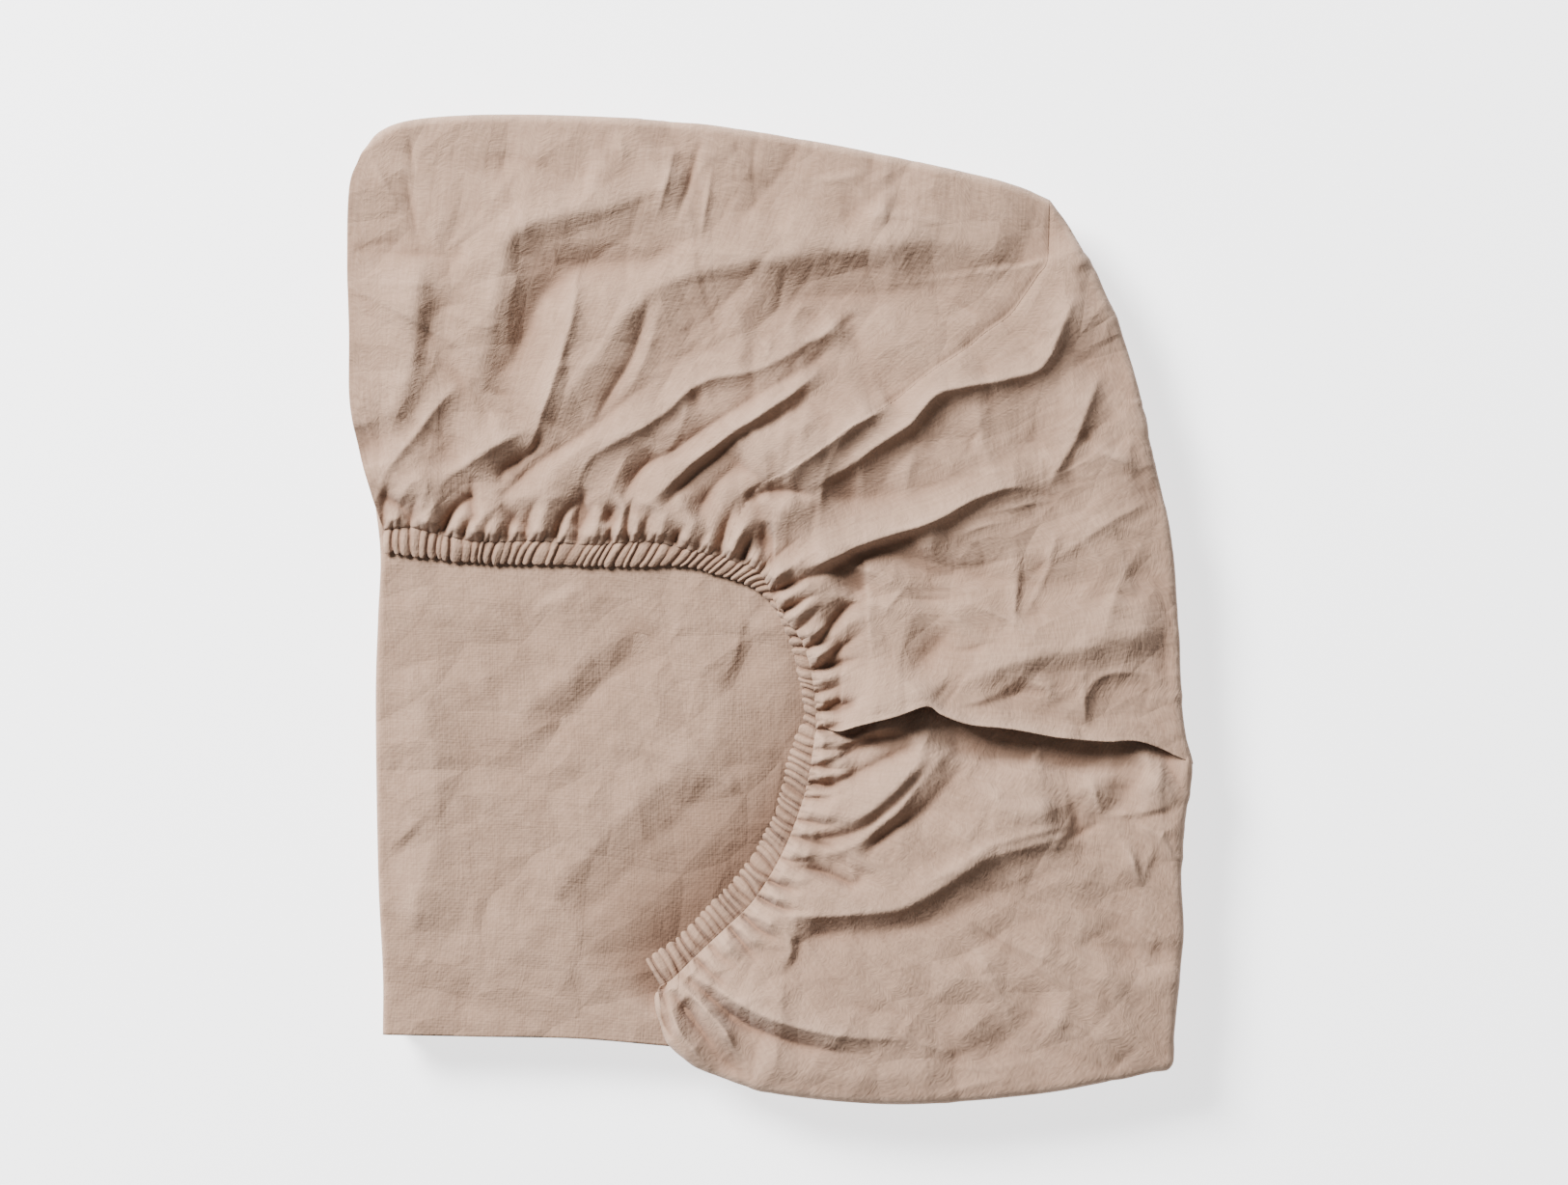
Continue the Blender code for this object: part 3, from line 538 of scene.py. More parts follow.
# The folded layers: stations from front to back, rows of one layer, cells around a turn, the gap left under
# the base panel, how far the lowest layer's left end is drawn in, and how a layer's height strays, with the
# noise shifted from layer to layer
LAYER_STATIONS = 120
LAYER_ROWS = 25
LAYER_TURN_CELLS = 6
TOP_GAP = 1.2
LOWEST_INSET = 14.0
LAYER_STRAY = Noise(38.0, 3, 0.22)
LAYER_SHIFT = 37.0

# A layer's end: how far it is drawn in on average, and the waves along it, each with its number along the
# whole edge, its shift from turn to turn and its height
LAYER_INSET = 4.74
LAYER_WAVES = ((2.3, 1.9, 1.1), (6.1, 1.0, 0.44))

# A layer's bowed front: depth of the bow, the share of the way where it starts, how far back it reaches, and
# depth and shifts, for each layer and across it, of what strays from it
BOW_DEPTH = 10.0
BOW_START = 0.35
BOW_REACH = 0.22
BOW_STRAY = 3.0
BOW_SHIFTS = (2.1, 3.0)

# The stage, in metres: half the floor's side, place and side of the main light and of the fill light, the
# fill light's share of the power, colours of the floor's glow and of the sky, and the sky's strength. Then
# the camera's sensor in millimetres
FLOOR_REACH = 6.0
MAIN_LIGHT = ((-1.75, 1.6, 1.72), 1.1)
FILL_LIGHT = ((1.6, -1.0, 2.2), 2.2)
FILL_SHARE = 0.033
GLOW_COLOUR = (1.0, 1.0, 1.01, 1.0)
SKY_COLOUR = (0.97, 0.98, 1.0, 1.0)
SKY_STRENGTH = 0.1
SENSOR_WIDTH = 36.0

CLOTH_FINISH = "washed_cotton"


def plan_mm(pixels):
    """Return plan points in millimetres for points in the photograph's pixels."""
    pixels = np.asarray(pixels, dtype=float)
    across = (pixels[..., 0] - PIXEL_AT_ORIGIN[0]) * PIXEL_MM
    upwards = (PIXEL_AT_ORIGIN[1] - pixels[..., 1]) * PIXEL_MM
    return np.stack((across, upwards), axis=-1)


def smooth_path(points, per_span=16):
    """Return a dense Catmull-Rom curve through the points, as an array."""
    points = np.asarray(points, dtype=float)
    ends = (2 * points[:1] - points[1:2], points, 2 * points[-1:] - points[-2:-1])
    padded = np.concatenate(ends)
    before, here, after, beyond = padded[:-3], padded[1:-2], padded[2:-1], padded[3:]
    part = (np.arange(per_span) / per_span)[None, :, None]
    before, here, after, beyond = (group[:, None, :] for group in (before, here, after, beyond))
    bend = (2 * before - 5 * here + 4 * after - beyond) * part ** 2
    twist = (3 * here - before - 3 * after + beyond) * part ** 3
    dense = ((2 * here + (after - before) * part + bend + twist) / 2).reshape(-1, points.shape[1])
    return np.concatenate((dense, points[-1:]))


def arc_lengths(path):
    """Return how far along a path each of its points lies."""
    steps = np.linalg.norm(np.diff(path[:, :2], axis=0), axis=1)
    return np.concatenate(([0.0], np.cumsum(steps)))


def spaced(points, shares):
    """Return the smooth curve's points at the given shares of its length."""
    path = smooth_path(points)
    travelled = arc_lengths(path)
    wanted = np.asarray(shares) * travelled[-1]
    return np.stack([np.interp(wanted, travelled, path[:, axis]) for axis in range(path.shape[1])], axis=1)


def outward(edge, turn, reach=6):
    """Return plan normals of an edge, rounded over its neighbours. turn is +1 for the right of its run."""
    run = np.gradient(edge, axis=0)
    padded = np.pad(run, ((reach, reach), (0, 0)), mode="edge")
    run = sum(padded[shift:shift + len(run)] for shift in range(2 * reach + 1))
    run /= np.linalg.norm(run, axis=1, keepdims=True)
    return np.stack((run[:, 1], -run[:, 0]), axis=1) * turn


def stray(places, noise):
    """Return smooth noise at places: random values on a square lattice, mixed by a quintic step."""
    lattice = np.random.RandomState(noise.seed).uniform(-1.0, 1.0, (NOISE_LATTICE, NOISE_LATTICE))
    place = np.asarray(places) / noise.size
    cell = np.floor(place).astype(int)
    part = place - cell
    part = part ** 3 * (part * (part * 6 - 15) + 10)
    x, y = cell[..., 0] % NOISE_LATTICE, cell[..., 1] % NOISE_LATTICE
    x_next, y_next = (x + 1) % NOISE_LATTICE, (y + 1) % NOISE_LATTICE
    near = lattice[x, y] * (1 - part[..., 0]) + lattice[x_next, y] * part[..., 0]
    far = lattice[x, y_next] * (1 - part[..., 0]) + lattice[x_next, y_next] * part[..., 0]
    return (near * (1 - part[..., 1]) + far * part[..., 1]) * noise.share


def windows(heights, axis, width):
    """Return a grid's values, shifted along an axis by every number of cells up to a width, both ways."""
    margins = [(0, 0), (0, 0)]
    margins[axis] = (width, width)
    padded = np.pad(heights, margins, mode="edge")
    count = heights.shape[axis]
    return (np.take(padded, np.arange(start, start + count), axis=axis) for start in range(2 * width + 1))


def blurred(heights, reach):
    """Return heights rounded by a bell-shaped blur, whose reach is in cells."""
    width = max(int(math.ceil(3 * reach)), 1)
    weights = np.exp(-0.5 * (np.arange(-width, width + 1) / reach) ** 2)
    weights /= weights.sum()
    for axis in (0, 1):
        heights = sum(weight * shifted for weight, shifted in zip(weights, windows(heights, axis, width)))
    return heights


def lowest_around(heights):
    """Return the lowest height in each point's neighbourhood, two points each way."""
    for axis in (0, 1):
        heights = np.minimum.reduce(list(windows(heights, axis, 2)))
    return heights


class HeightField:
    """Heights on a plan grid: a level and the strokes of its folds, less most of their own wide mean."""

    low = np.array(FIELD_CORNER)
    size = np.array(FIELD_SIZE)
    shape = tuple(np.ceil(size / FIELD_CELL).astype(int) + 1)

    def __init__(self, level, strokes, mean_share=WIDE_MEAN_SHARE):
        self.heights = np.zeros(self.shape)
        for stroke in strokes:
            self.add(stroke)
        step = WIDE_MEAN_STEP
        wide = blurred(self.heights[::step, ::step], WIDE_MEAN_REACH / FIELD_CELL / step)
        rows, columns = (np.linspace(0, count - 1, full) for count, full in zip(wide.shape, self.shape))
        wide = self.resampled(wide, rows[:, None], columns[None, :])
        self.heights = level + self.heights - mean_share * wide

    @functools.cached_property
    def reliefs(self):
        """How the cloth lies to what is around it: below nought in the hollows, above it on the ridges; it
        paints shade and highlight into the colour.
        """
        close = blurred(self.heights, RELIEF_REACH / FIELD_CELL)
        wide = blurred(self.heights, WIDE_RELIEF_REACH / FIELD_CELL)
        return (self.heights - close) / RELIEF_DEPTH + (self.heights - wide) / WIDE_RELIEF_DEPTH

    def add(self, stroke):
        """Add a stroke: full height on its line, and fading away from it, faster on the side in shade."""
        reach = STROKE_WIDTHS * max(stroke.lit, stroke.shade)
        first = np.floor((stroke.plan.min(axis=0) - reach - self.low) / FIELD_CELL).astype(int)
        last = np.ceil((stroke.plan.max(axis=0) + reach - self.low) / FIELD_CELL).astype(int)
        first, last = np.maximum(first, 0), np.minimum(last, self.shape)
        if np.any(last <= first):
            return
        x = (np.arange(first[0], last[0]) * FIELD_CELL + self.low[0])[:, None]
        y = (np.arange(first[1], last[1]) * FIELD_CELL + self.low[1])[None, :]
        nearest = np.full(tuple(last - first), np.inf)
        along, side = np.zeros(nearest.shape), np.zeros(nearest.shape)
        runs = np.diff(stroke.plan, axis=0)
        for number, (start, run) in enumerate(zip(stroke.plan, runs)):
            part = ((x - start[0]) * run[0] + (y - start[1]) * run[1]) / (run @ run)
            part = np.clip(part, 0.0, 1.0)
            away_x, away_y = x - start[0] - part * run[0], y - start[1] - part * run[1]
            distance = away_x * away_x + away_y * away_y
            nearer = distance < nearest
            nearest = np.where(nearer, distance, nearest)
            along = np.where(nearer, number + part, along)
            side = np.where(nearer, run[0] * away_y - run[1] * away_x, side)
        numbers = np.arange(len(stroke.plan))
        slope = runs.sum(axis=1) / math.sqrt(2) / np.linalg.norm(runs, axis=1)
        shaded = np.clip(0.5 - LIGHT_TURN * slope, 0.0, 1.0)
        shaded = np.interp(along, numbers[:-1] + 0.5, shaded)
        shaded = np.where(side > 0, shaded, 1 - shaded)
        width = stroke.lit + (stroke.shade - stroke.lit) * shaded
        away = np.sqrt(nearest + stroke.rounding ** 2) - stroke.rounding
        rise = np.interp(along, numbers, stroke.rises)
        self.heights[first[0]:last[0], first[1]:last[1]] += rise * np.exp(-away / width)

    @staticmethod
    def resampled(heights, row, column):
        """Return heights at places between the cells, mixed from the four around each."""
        near_row = np.clip(np.floor(row).astype(int), 0, heights.shape[0] - 2)
        near_column = np.clip(np.floor(column).astype(int), 0, heights.shape[1] - 2)
        row_part = np.clip(row - near_row, 0.0, 1.0)
        column_part = np.clip(column - near_column, 0.0, 1.0)
        first, second = (
            heights[near_row, near_column + step] * (1 - row_part)
            + heights[near_row + 1, near_column + step] * row_part
            for step in (0, 1)
        )
        return first * (1 - column_part) + second * column_part

    def read(self, grid, plan):
        """Return one of the field's grids at plan points."""
        place = (plan - self.low) / FIELD_CELL
        return self.resampled(grid, place[..., 0], place[..., 1])

    def at(self, plan):
        """Return the field's heights at plan points."""
        return self.read(self.heights, plan)

    def relief_at(self, plan):
        """Return the field's reliefs at plan points."""
        return self.read(self.reliefs, plan)


def stroke_of(plan, heights, shape, starts_open=False):
    """Return a stroke along a smooth line: its heights are spread evenly and die out at both ends.

    A line that starts open keeps its height at its first point.
    """
    path = smooth_path(plan)
    travelled = arc_lengths(path)
    count = max(int(travelled[-1] / STROKE_STEP), 3)
    even = np.linspace(0.0, travelled[-1], count + 1)
    points = np.stack([np.interp(even, travelled, path[:, axis]) for axis in (0, 1)], axis=1)
    rises = np.interp(np.linspace(0.0, len(heights) - 1.0, count + 1), np.arange(len(heights)), heights)
    from_start = even + (even[-1] if starts_open else 0.0)
    from_end = np.minimum(from_start, even[-1] - even) / min(END_FADE, END_FADE_SHARE * even[-1])
    return Stroke(points, rises * np.clip(from_end, 0.0, 1.0) ** END_POWER, *shape)


def skirt_field(folds, creases, loose):
    """Return the height field of a part of the skirt, from its folds, its creases and its small folds."""
    strokes = []
    for fold in folds:
        heights = np.array(fold.heights) - FOLD_MIDDLE
        shapes = CREST_SHAPES if heights.mean() > 0 else VALLEY_SHAPES
        plan = plan_mm(fold.line)
        strokes.append(stroke_of(plan, heights * FOLD_SHARES[fold.edge], shapes[fold.edge]))
        if fold.edge == LIP and arc_lengths(plan)[-1] > LONG_LIP:
            strokes.append(stroke_of(plan, heights * LONG_LIP_SHARE, LONG_LIP_SHAPE))
    for crease in creases:
        strokes.append(stroke_of(plan_mm(crease.line), (crease.height * CREASE_SHARE,) * 2, CREASE_SHAPE))
    return HeightField(FOLD_MIDDLE, strokes + loose_folds(loose) + root_folds(hem_roots()))


def root_folds(roots):
    """Return the pits and pillows beside the hem: a pit runs from each root, a pillow lies between two."""
    random = np.random.RandomState(ROOT_SEED)
    line = smooth_path(hem_line())
    travelled = arc_lengths(line)
    out = outward(line, -1.0)
    places = np.sort(roots)
    middles = (places[:-1] + places[1:]) / 2
    strokes = []
    for place, pit in [(place, True) for place in places] + [(place, False) for place in middles]:
        point, away = (np.array([np.interp(place, travelled, part[:, axis]) for axis in (0, 1)])
                       for part in (line, out))
        run = np.array((away[1], -away[0]))
        lean = np.interp(place, LEAN_PLACES, LEANS) + random.uniform(-LEAN_STRAY, LEAN_STRAY)
        length = random.uniform(*(PIT_LENGTHS if pit else PILLOW_LENGTHS))
        first = point + away * (0.0 if pit else PILLOW_START)
        middle = first + (away + 0.5 * lean * run) * length / 2
        height = random.uniform(*(PIT_DEPTHS if pit else PILLOW_HEIGHTS))
        heights = (-height, -0.5 * height, 0.0) if pit else (height, height, 0.0)
        shape = PIT_SHAPE if pit else PILLOW_SHAPE
        plan = (first, middle, first + (away + lean * run) * length)
        strokes.append(stroke_of(plan, heights, shape, starts_open=True))
    return strokes


def loose_folds(loose):
    """Return the small straight folds that are strewn over the crumpled cloth."""
    random = np.random.RandomState(loose.seed)
    strokes = []
    for _ in range(loose.count):
        middle = HeightField.low + random.uniform(*LOOSE_PLACES, 2) * HeightField.size
        angle = random.uniform(0.0, math.pi)
        thin = random.uniform() < LOOSE_THIN_SHARE
        half_length = random.uniform(*LOOSE_HALF_LENGTHS)
        run = np.array((math.cos(angle), math.sin(angle))) * half_length
        bend = np.array((-run[1], run[0])) * random.uniform(*LOOSE_BENDS)
        width = random.uniform(*(LOOSE_THIN_WIDTHS if thin else LOOSE_WIDE_WIDTHS))
        height = random.choice((-1.0, 1.0)) * random.uniform(*LOOSE_HEIGHTS) * width * loose.slope
        plan = (middle - run, middle + bend, middle + run)
        strokes.append(stroke_of(plan, (height, height), (width * LOOSE_LIT, width, LOOSE_ROUNDING)))
    return strokes


def base_field():
    """Return the height field of the base panel's creases and waves."""
    strokes = [stroke_of(plan_mm(fold.line), np.array(fold.heights) * BASE_SHARES[fold.edge],
                         BASE_SHAPES[fold.edge]) for fold in BASE_FOLDS]
    return HeightField(0.0, strokes + loose_folds(BASE_LOOSE))


@functools.cache
def dip_field():
    """Return the height field of the dip along the hem's right side."""
    return HeightField(0.0, [stroke_of(plan_mm(DIP_LINE), DIP_DEPTHS, DIP_SHAPE)], 0.0)


def base_height(plan):
    """Return the height of the base panel's middle: its level, the parcel's long swell and the dip."""
    across, along = (2 * math.pi * (plan[..., axis] - start) / length
                     for axis, (start, length) in enumerate(zip(SWELL_STARTS, SWELL_LENGTHS)))
    swell = 0.5 + 0.25 * np.sin(across) + 0.25 * np.cos(along)
    return BASE_LEVEL + SWELL_HEIGHT * swell + dip_field().at(plan)


class Gathers:
    """Gathers along the hem, between grooves at given places in millimetres of the stitch line."""

    def __init__(self, grooves, seed):
        random = np.random.RandomState(seed)
        self.grooves = np.asarray(grooves)
        self.depths = random.uniform(*GROOVE_DEPTHS, len(grooves) + 1)
        self.heights = random.uniform(*RIDGE_HEIGHTS, len(grooves) + 1)

    def ridge(self, along):
        """Return up to 1 on the rounded ridges, and less in the grooves, down to 0 in the deepest."""
        phase = np.interp(along, self.grooves, np.arange(len(self.grooves)))
        height = np.interp(phase, np.arange(len(self.heights)) + 0.5, self.heights)
        depth = self.depths[np.round(phase).astype(int)]
        return height * (1 - depth * (1 - np.abs(np.sin(math.pi * phase)) ** RIDGE_POWER))


def hem_line():
    """Return the whole stitch line in millimetres, from the left end to the front end."""
    return plan_mm(STITCH_BACK + STITCH_RIGHT[1:] + STITCH_FRONT[1:])


def hem_roots():
    """Return how far along the stitch line each wide gather's groove meets it, in millimetres."""
    path = smooth_path(hem_line())
    roots = plan_mm(HEM_ROOTS)
    away = np.linalg.norm(path[None, :, :] - roots[:, None, :], axis=-1)
    return arc_lengths(path)[away.argmin(axis=1)]


def gather_pair(settings):
    """Return the fine and the wide gathers. Fine grooves part each wide gather into uneven shares."""
    pitch = settings.gather_pitch / METRES_PER_MM
    roots = hem_roots()
    random = np.random.RandomState(PLEAT_SEED)
    fine = []
    for start, end in zip(roots, roots[1:]):
        shares = random.uniform(*PLEAT_SHARES, max(int(round((end - start) / pitch)), 1))
        fine.append(start + (end - start) * np.concatenate(([0.0], np.cumsum(shares)[:-1])) / shares.sum())
    return Gathers(np.concatenate(fine + [roots[-1:]]), FINE_SEED), Gathers(roots, WIDE_SEED)


def hem_gathers(gathers, along, from_hem, depth):
    """Return the gathers' height: fine ones at the stitch line, wide ones that reach further and lean."""
    fine, wide = gathers
    lean = np.interp(along, LEAN_PLACES, LEANS)
    places = np.stack((along + 0 * from_hem, from_hem * SWAY_DRAW), axis=-1)
    place = along + (stray(places, GATHER_SWAY) - lean) * from_hem
    near = np.exp(-from_hem / FINE_REACH)
    further = np.exp(-(from_hem / WIDE_REACH) ** WIDE_POWER)
    further = further * np.clip(from_hem / WIDE_START, WIDE_LEAST, 1.0) * WIDE_SHARE
    return depth * ((fine.ridge(place) - RIDGE_MIDDLE) * near + (wide.ridge(place) - RIDGE_MIDDLE) * further)


def coons_patch(hem, outline, near, far, stations, places):
    """Return plan points between four edges, as a grid of stations by places. The hem is given as points.

    The hem and the outline are mixed by the place, the near and far edges by the station, and the four
    corners are taken out once.
    """
    station = np.asarray(stations)[:, None, None]
    place = np.asarray(places)[None, :, None]
    hem, outline = hem[:, None, :], spaced(outline, stations)[:, None, :]
    near, far = spaced(near, places)[None, :, :], spaced(far, places)[None, :, :]
    across = (1 - place) * hem + place * outline
    along = (1 - station) * near + station * far
    at_near = (1 - place) * near[:, :1] + place * near[:, -1:]
    at_far = (1 - place) * far[:, :1] + place * far[:, -1:]
    return across + along - (1 - station) * at_near - station * at_far


def grid_lengths(points, axis):
    """Return the distance from a grid's first line along one axis, measured on the surface."""
    steps = np.linalg.norm(np.diff(points, axis=axis), axis=-1)
    first = np.zeros_like(np.take(steps, [0], axis=axis))
    return np.concatenate((first, np.cumsum(steps, axis=axis)), axis=axis)


def turn_directions(edge, out, near, far):
    """Return the outline's normals, swung round to run on from the near and the far side at its two ends."""
    travelled = arc_lengths(edge)
    for side, distance in ((near, travelled), (far, travelled[-1] - travelled)):
        run = np.diff(spaced(side, SIDE_END), axis=0)
        share = np.exp(-(distance / CORNER_REACH) ** 2)[:, None]
        out = out * (1 - share) + share * run / np.linalg.norm(run)
    return out / np.linalg.norm(out, axis=1, keepdims=True)


def turn_rows(edge, out, centre, distance, tucks=()):
    """Return the rows of a half turn down past an edge, and rows of the cloth tucked in level under it.

    Each row lies at a distance from the turn's centre line. tucks are how far in the last rows lie.
    """
    angles = math.pi / 2 - math.pi * np.arange(1, TURN_CELLS + 1) / TURN_CELLS
    reaches = np.hstack((np.cos(angles) * distance, np.tile(-np.array(tucks), (len(edge), 1))))
    heights = np.hstack((np.sin(angles) * distance, np.repeat(-distance, len(tucks), axis=1)))
    return np.dstack((edge[:, None, :] + out[:, None, :] * reaches[..., None], centre + heights))


def quads_of(rows, columns, start=0):
    """Return the faces of a grid of points that are numbered row by row."""
    index = start + np.arange(rows * columns).reshape(rows, columns)
    corners = (index[:-1, :-1], index[1:, :-1], index[1:, 1:], index[:-1, 1:])
    return np.stack(corners, axis=-1).reshape(-1, 4)


def rim_of(rows, columns, start=0):
    """Return the border of a grid as a loop of point numbers, along its first column first."""
    index = start + np.arange(rows * columns).reshape(rows, columns)
    return np.concatenate((index[:-1, 0], index[-1, :-1], index[:0:-1, -1], index[0, :0:-1]))


def add_piece(name, points, quads, triangles, flat, relief):
    """Make a closed mesh object from points in millimetres. flat holds each point's place on the cut cloth.

    relief is below nought in the hollows and above it on the ridges, from -1 to 1. The faces are turned
    round together if they enclose a negative volume.
    """
    first = np.concatenate((quads[:, [0, 1, 2]], quads[:, [0, 2, 3]], triangles))
    corners = points[first]
    volume = np.einsum("ij,ij->i", corners[:, 0], np.cross(corners[:, 1], corners[:, 2])).sum()
    if volume < 0:
        quads = quads[:, ::-1]
        triangles = triangles[:, ::-1]
    loops = np.concatenate((quads.ravel(), triangles.ravel()))
    starts = np.concatenate((np.arange(len(quads)) * 4, len(quads) * 4 + np.arange(len(triangles)) * 3))
    mesh = bpy.data.meshes.new(name)
    mesh.vertices.add(len(points))
    mesh.vertices.foreach_set("co", (points * METRES_PER_MM).ravel())
    mesh.loops.add(len(loops))
    mesh.loops.foreach_set("vertex_index", loops)
    mesh.polygons.add(len(starts))
    mesh.polygons.foreach_set("loop_start", starts)
    mesh.update(calc_edges=True)
    layer = mesh.uv_layers.new(name="cut_cloth")
    layer.data.foreach_set("uv", (flat[loops] * METRES_PER_MM).ravel())
    # The relief attribute gives the colour its painted shade in the hollows and its painted highlight on the
    # ridges
    mesh.attributes.new("relief", "FLOAT", "POINT").data.foreach_set("value", relief)
    mesh.validate()
    mesh.shade_smooth()
    mesh.materials.append(finish_material())
    piece = bpy.data.objects.new(name, mesh)
    bpy.context.scene.collection.objects.link(piece)
    return piece


def add_shell(name, top, under, flat, relief=0.0):
    """Close a cloth piece: its full upper grid, every second point of the under grid, and the rim."""
    rows, columns = top.shape[:2]
    under = under[::2, ::2]
    points = np.concatenate((top.reshape(-1, 3), under.reshape(-1, 3)))
    places = np.concatenate((flat.reshape(-1, 2), flat[::2, ::2].reshape(-1, 2)))
    below = rows * columns
    quads = np.concatenate((quads_of(rows, columns), quads_of(*under.shape[:2], start=below)[:, ::-1]))
    fine = rim_of(rows, columns)
    coarse = rim_of(*under.shape[:2], start=below)
    one, two, three = fine[::2], fine[1::2], np.roll(fine[::2], -1)
    four, five = coarse, np.roll(coarse, -1)
    triangles = np.concatenate((
        np.stack((two, one, four), axis=1),
        np.stack((three, two, five), axis=1),
        np.stack((two, four, five), axis=1),
    ))
    relief = np.broadcast_to(relief, top.shape[:2])
    return add_piece(name, points, quads, triangles, places, np.append(relief, relief[::2, ::2]))


def declare(piece):
    """Let a piece ride on the body, and hide the solid that it stands for."""
    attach(piece, "root")
    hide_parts("fitted_sheet")


def add_skirt(name, hem, outline, near, far, field, cells, settings, gathers, gather_start):
    """Make one part of the skirt between the stitch line, the outline and its two sides.

    Its height is the base panel's, plus the folds and the gathers that die out from the stitch line. Past
    the outline the cloth turns down in a half circle to the base panel's level, and is tucked in there.
    """
    thickness = settings.thickness / METRES_PER_MM
    stations = np.linspace(0.0, 1.0, cells[0] + 1)
    places = np.linspace(0.0, 1.0, cells[1] + 1) ** ROW_POWER
    edge = spaced(outline, stations)
    turn = 1.0 if outward_is_right(outline) else -1.0
    out = turn_directions(edge, outward(edge, turn), near, far)
    radius = np.maximum(field.at(edge), LEAST_TURN) / 2
    stitch = spaced(hem, stations)
    start = stitch + outward(stitch, 1.0) * HEM_START_INSIDE
    plan = coons_patch(start, outline, near, far, stations, places)
    plan = plan - (places ** INSET_POWER)[None, :, None] * (out * radius[:, None])[:, None, :]
    from_hem = grid_lengths(plan, 1)
    along = gather_start + arc_lengths(stitch)[:, None]
    rise = FOLD_MIDDLE + (field.at(plan) - FOLD_MIDDLE) * settings.fold_height
    started = np.clip(from_hem / HEM_START_REACH, 0.0, 1.0) ** HEM_START_POWER
    gathered = hem_gathers(gathers, along, from_hem, settings.gather_depth / METRES_PER_MM)
    rise = np.maximum(HEM_START_RISE + (rise - HEM_START_RISE) * started + gathered, LEAST_RISE)
    top = np.dstack((plan, base_height(plan) + rise + thickness / 2))
    inner = np.clip((1 - places) * UNDER_BLEND, 0.0, 1.0)[None, :]
    low = np.dstack((plan, (lowest_around(top[..., 2]) * inner + top[..., 2] * (1 - inner)) - thickness))
    radius = rise[:, -1:] / 2
    centre = top[:, -1:, 2] - thickness / 2 - radius
    top, low = (
        np.hstack((grid, turn_rows(plan[:, -1], out, centre, radius + side, TUCK_UNDER)))
        for grid, side in ((top, thickness / 2), (low, -thickness / 2))
    )
    from_stitch = grid_lengths(top, 1)
    flat = np.stack((along + 0 * from_stitch, from_stitch), axis=-1)
    # Painted shade in the hollows and the gathers' grooves, a painted highlight on the ridges and on the
    # turn at the rim
    relief = np.clip(field.relief_at(plan) + gathered / GATHER_RELIEF_DEPTH, -1.0, 1.0)
    relief = np.pad(relief, ((0, 0), (0, TURN_CELLS + len(TUCK_UNDER))), constant_values=RIM_HIGHLIGHT)
    return add_shell(name, top, low, flat, relief)


def add_base_panel(settings):
    """Make the base panel between its four edges.

    Its height is the parcel's, plus its creases and waves, which die out towards the left and the front
    edge. Past the left edge it turns down in a half circle.
    """
    thickness = settings.thickness / METRES_PER_MM
    stations, places = (np.linspace(0.0, 1.0, cells + 1) for cells in BASE_CELLS)
    edge = spaced(BASE_LEFT, stations)
    out = outward(edge, -1)
    plan = coons_patch(edge, BASE_RIGHT, BASE_FRONT, BASE_BACK, stations, places)
    plan = plan - ((1 - places) ** BASE_INSET_POWER)[None, :, None] * out[:, None, :] * BASE_RADIUS
    from_left, from_front = (np.clip(grid_lengths(plan, axis) / BASE_FADE, 0.0, 1.0) for axis in (1, 0))
    rise = base_field().at(plan) * from_left * from_front
    height = base_height(plan) + rise
    sides = []
    for side in (thickness / 2, -thickness / 2):
        distance = np.full((len(edge), 1), BASE_RADIUS + side)
        turned = turn_rows(plan[:, 0], out, height[:, :1] - BASE_RADIUS, distance)
        sides.append(np.hstack((np.dstack((plan, height + side))[:, ::-1], turned)))
    top, low = sides
    flat = np.stack((grid_lengths(top, 1), grid_lengths(top, 0)), axis=-1)
    # Painted shade where the panel sinks into the dip and in the waves' troughs, a painted highlight on
    # their crests
    relief = dip_field().at(plan) / DIP_RELIEF_DEPTH + rise / BASE_RELIEF_DEPTH
    relief = np.pad(np.clip(relief, -1.0, 1.0)[:, ::-1], ((0, 0), (0, TURN_CELLS)))
    return add_shell("base_panel", top, low, flat, relief)


def outward_is_right(outline):
    """Return whether the outside of the parcel lies right of an outline's run."""
    points = np.asarray(outline, dtype=float)
    run = points[-1] - points[0]
    middle = points[len(points) // 2]
    return run[1] * middle[0] - run[0] * middle[1] > 0


def with_height(plan, height):
    """Return plan points with a height, as an array of three columns."""
    return np.column_stack((plan, np.broadcast_to(height, len(plan))))


def layer_end(edge, out, turn, stations):
    """Return a layer's end: the outline drawn in by an uneven amount, which differs from turn to turn."""
    waves = sum(height * np.sin(2 * math.pi * number * stations + shift * turn)
                for number, shift, height in LAYER_WAVES)
    return edge - out * (LAYER_INSET + waves)[:, None]


def front_bow(stations, share, layer):
    """Return how far a layer's front end bows forwards at a share of the way from left to right."""
    across = np.clip((share - BOW_START) / (1 - BOW_START), 0.0, 1.0)
    fade = np.clip(1 - stations / BOW_REACH, 0.0, 1.0) ** 2
    uneven = math.sin(math.pi * share) * math.sin(BOW_SHIFTS[0] * layer + BOW_SHIFTS[1] * share)
    return (BOW_DEPTH * math.sin(math.pi * across) + BOW_STRAY * uneven) * fade


def layer_height(plan, layer, layers, thickness):
    """Return the height of a layer's middle. The lowest lies flat, and the highest follows the swell."""
    pitch = (BASE_LEVEL - TOP_GAP) / layers
    swell = (base_height(plan) - BASE_LEVEL) * layer / layers
    loose = stray(plan + layer * LAYER_SHIFT, LAYER_STRAY) * min(layer, 1)
    return thickness / 2 + layer * pitch + swell + loose


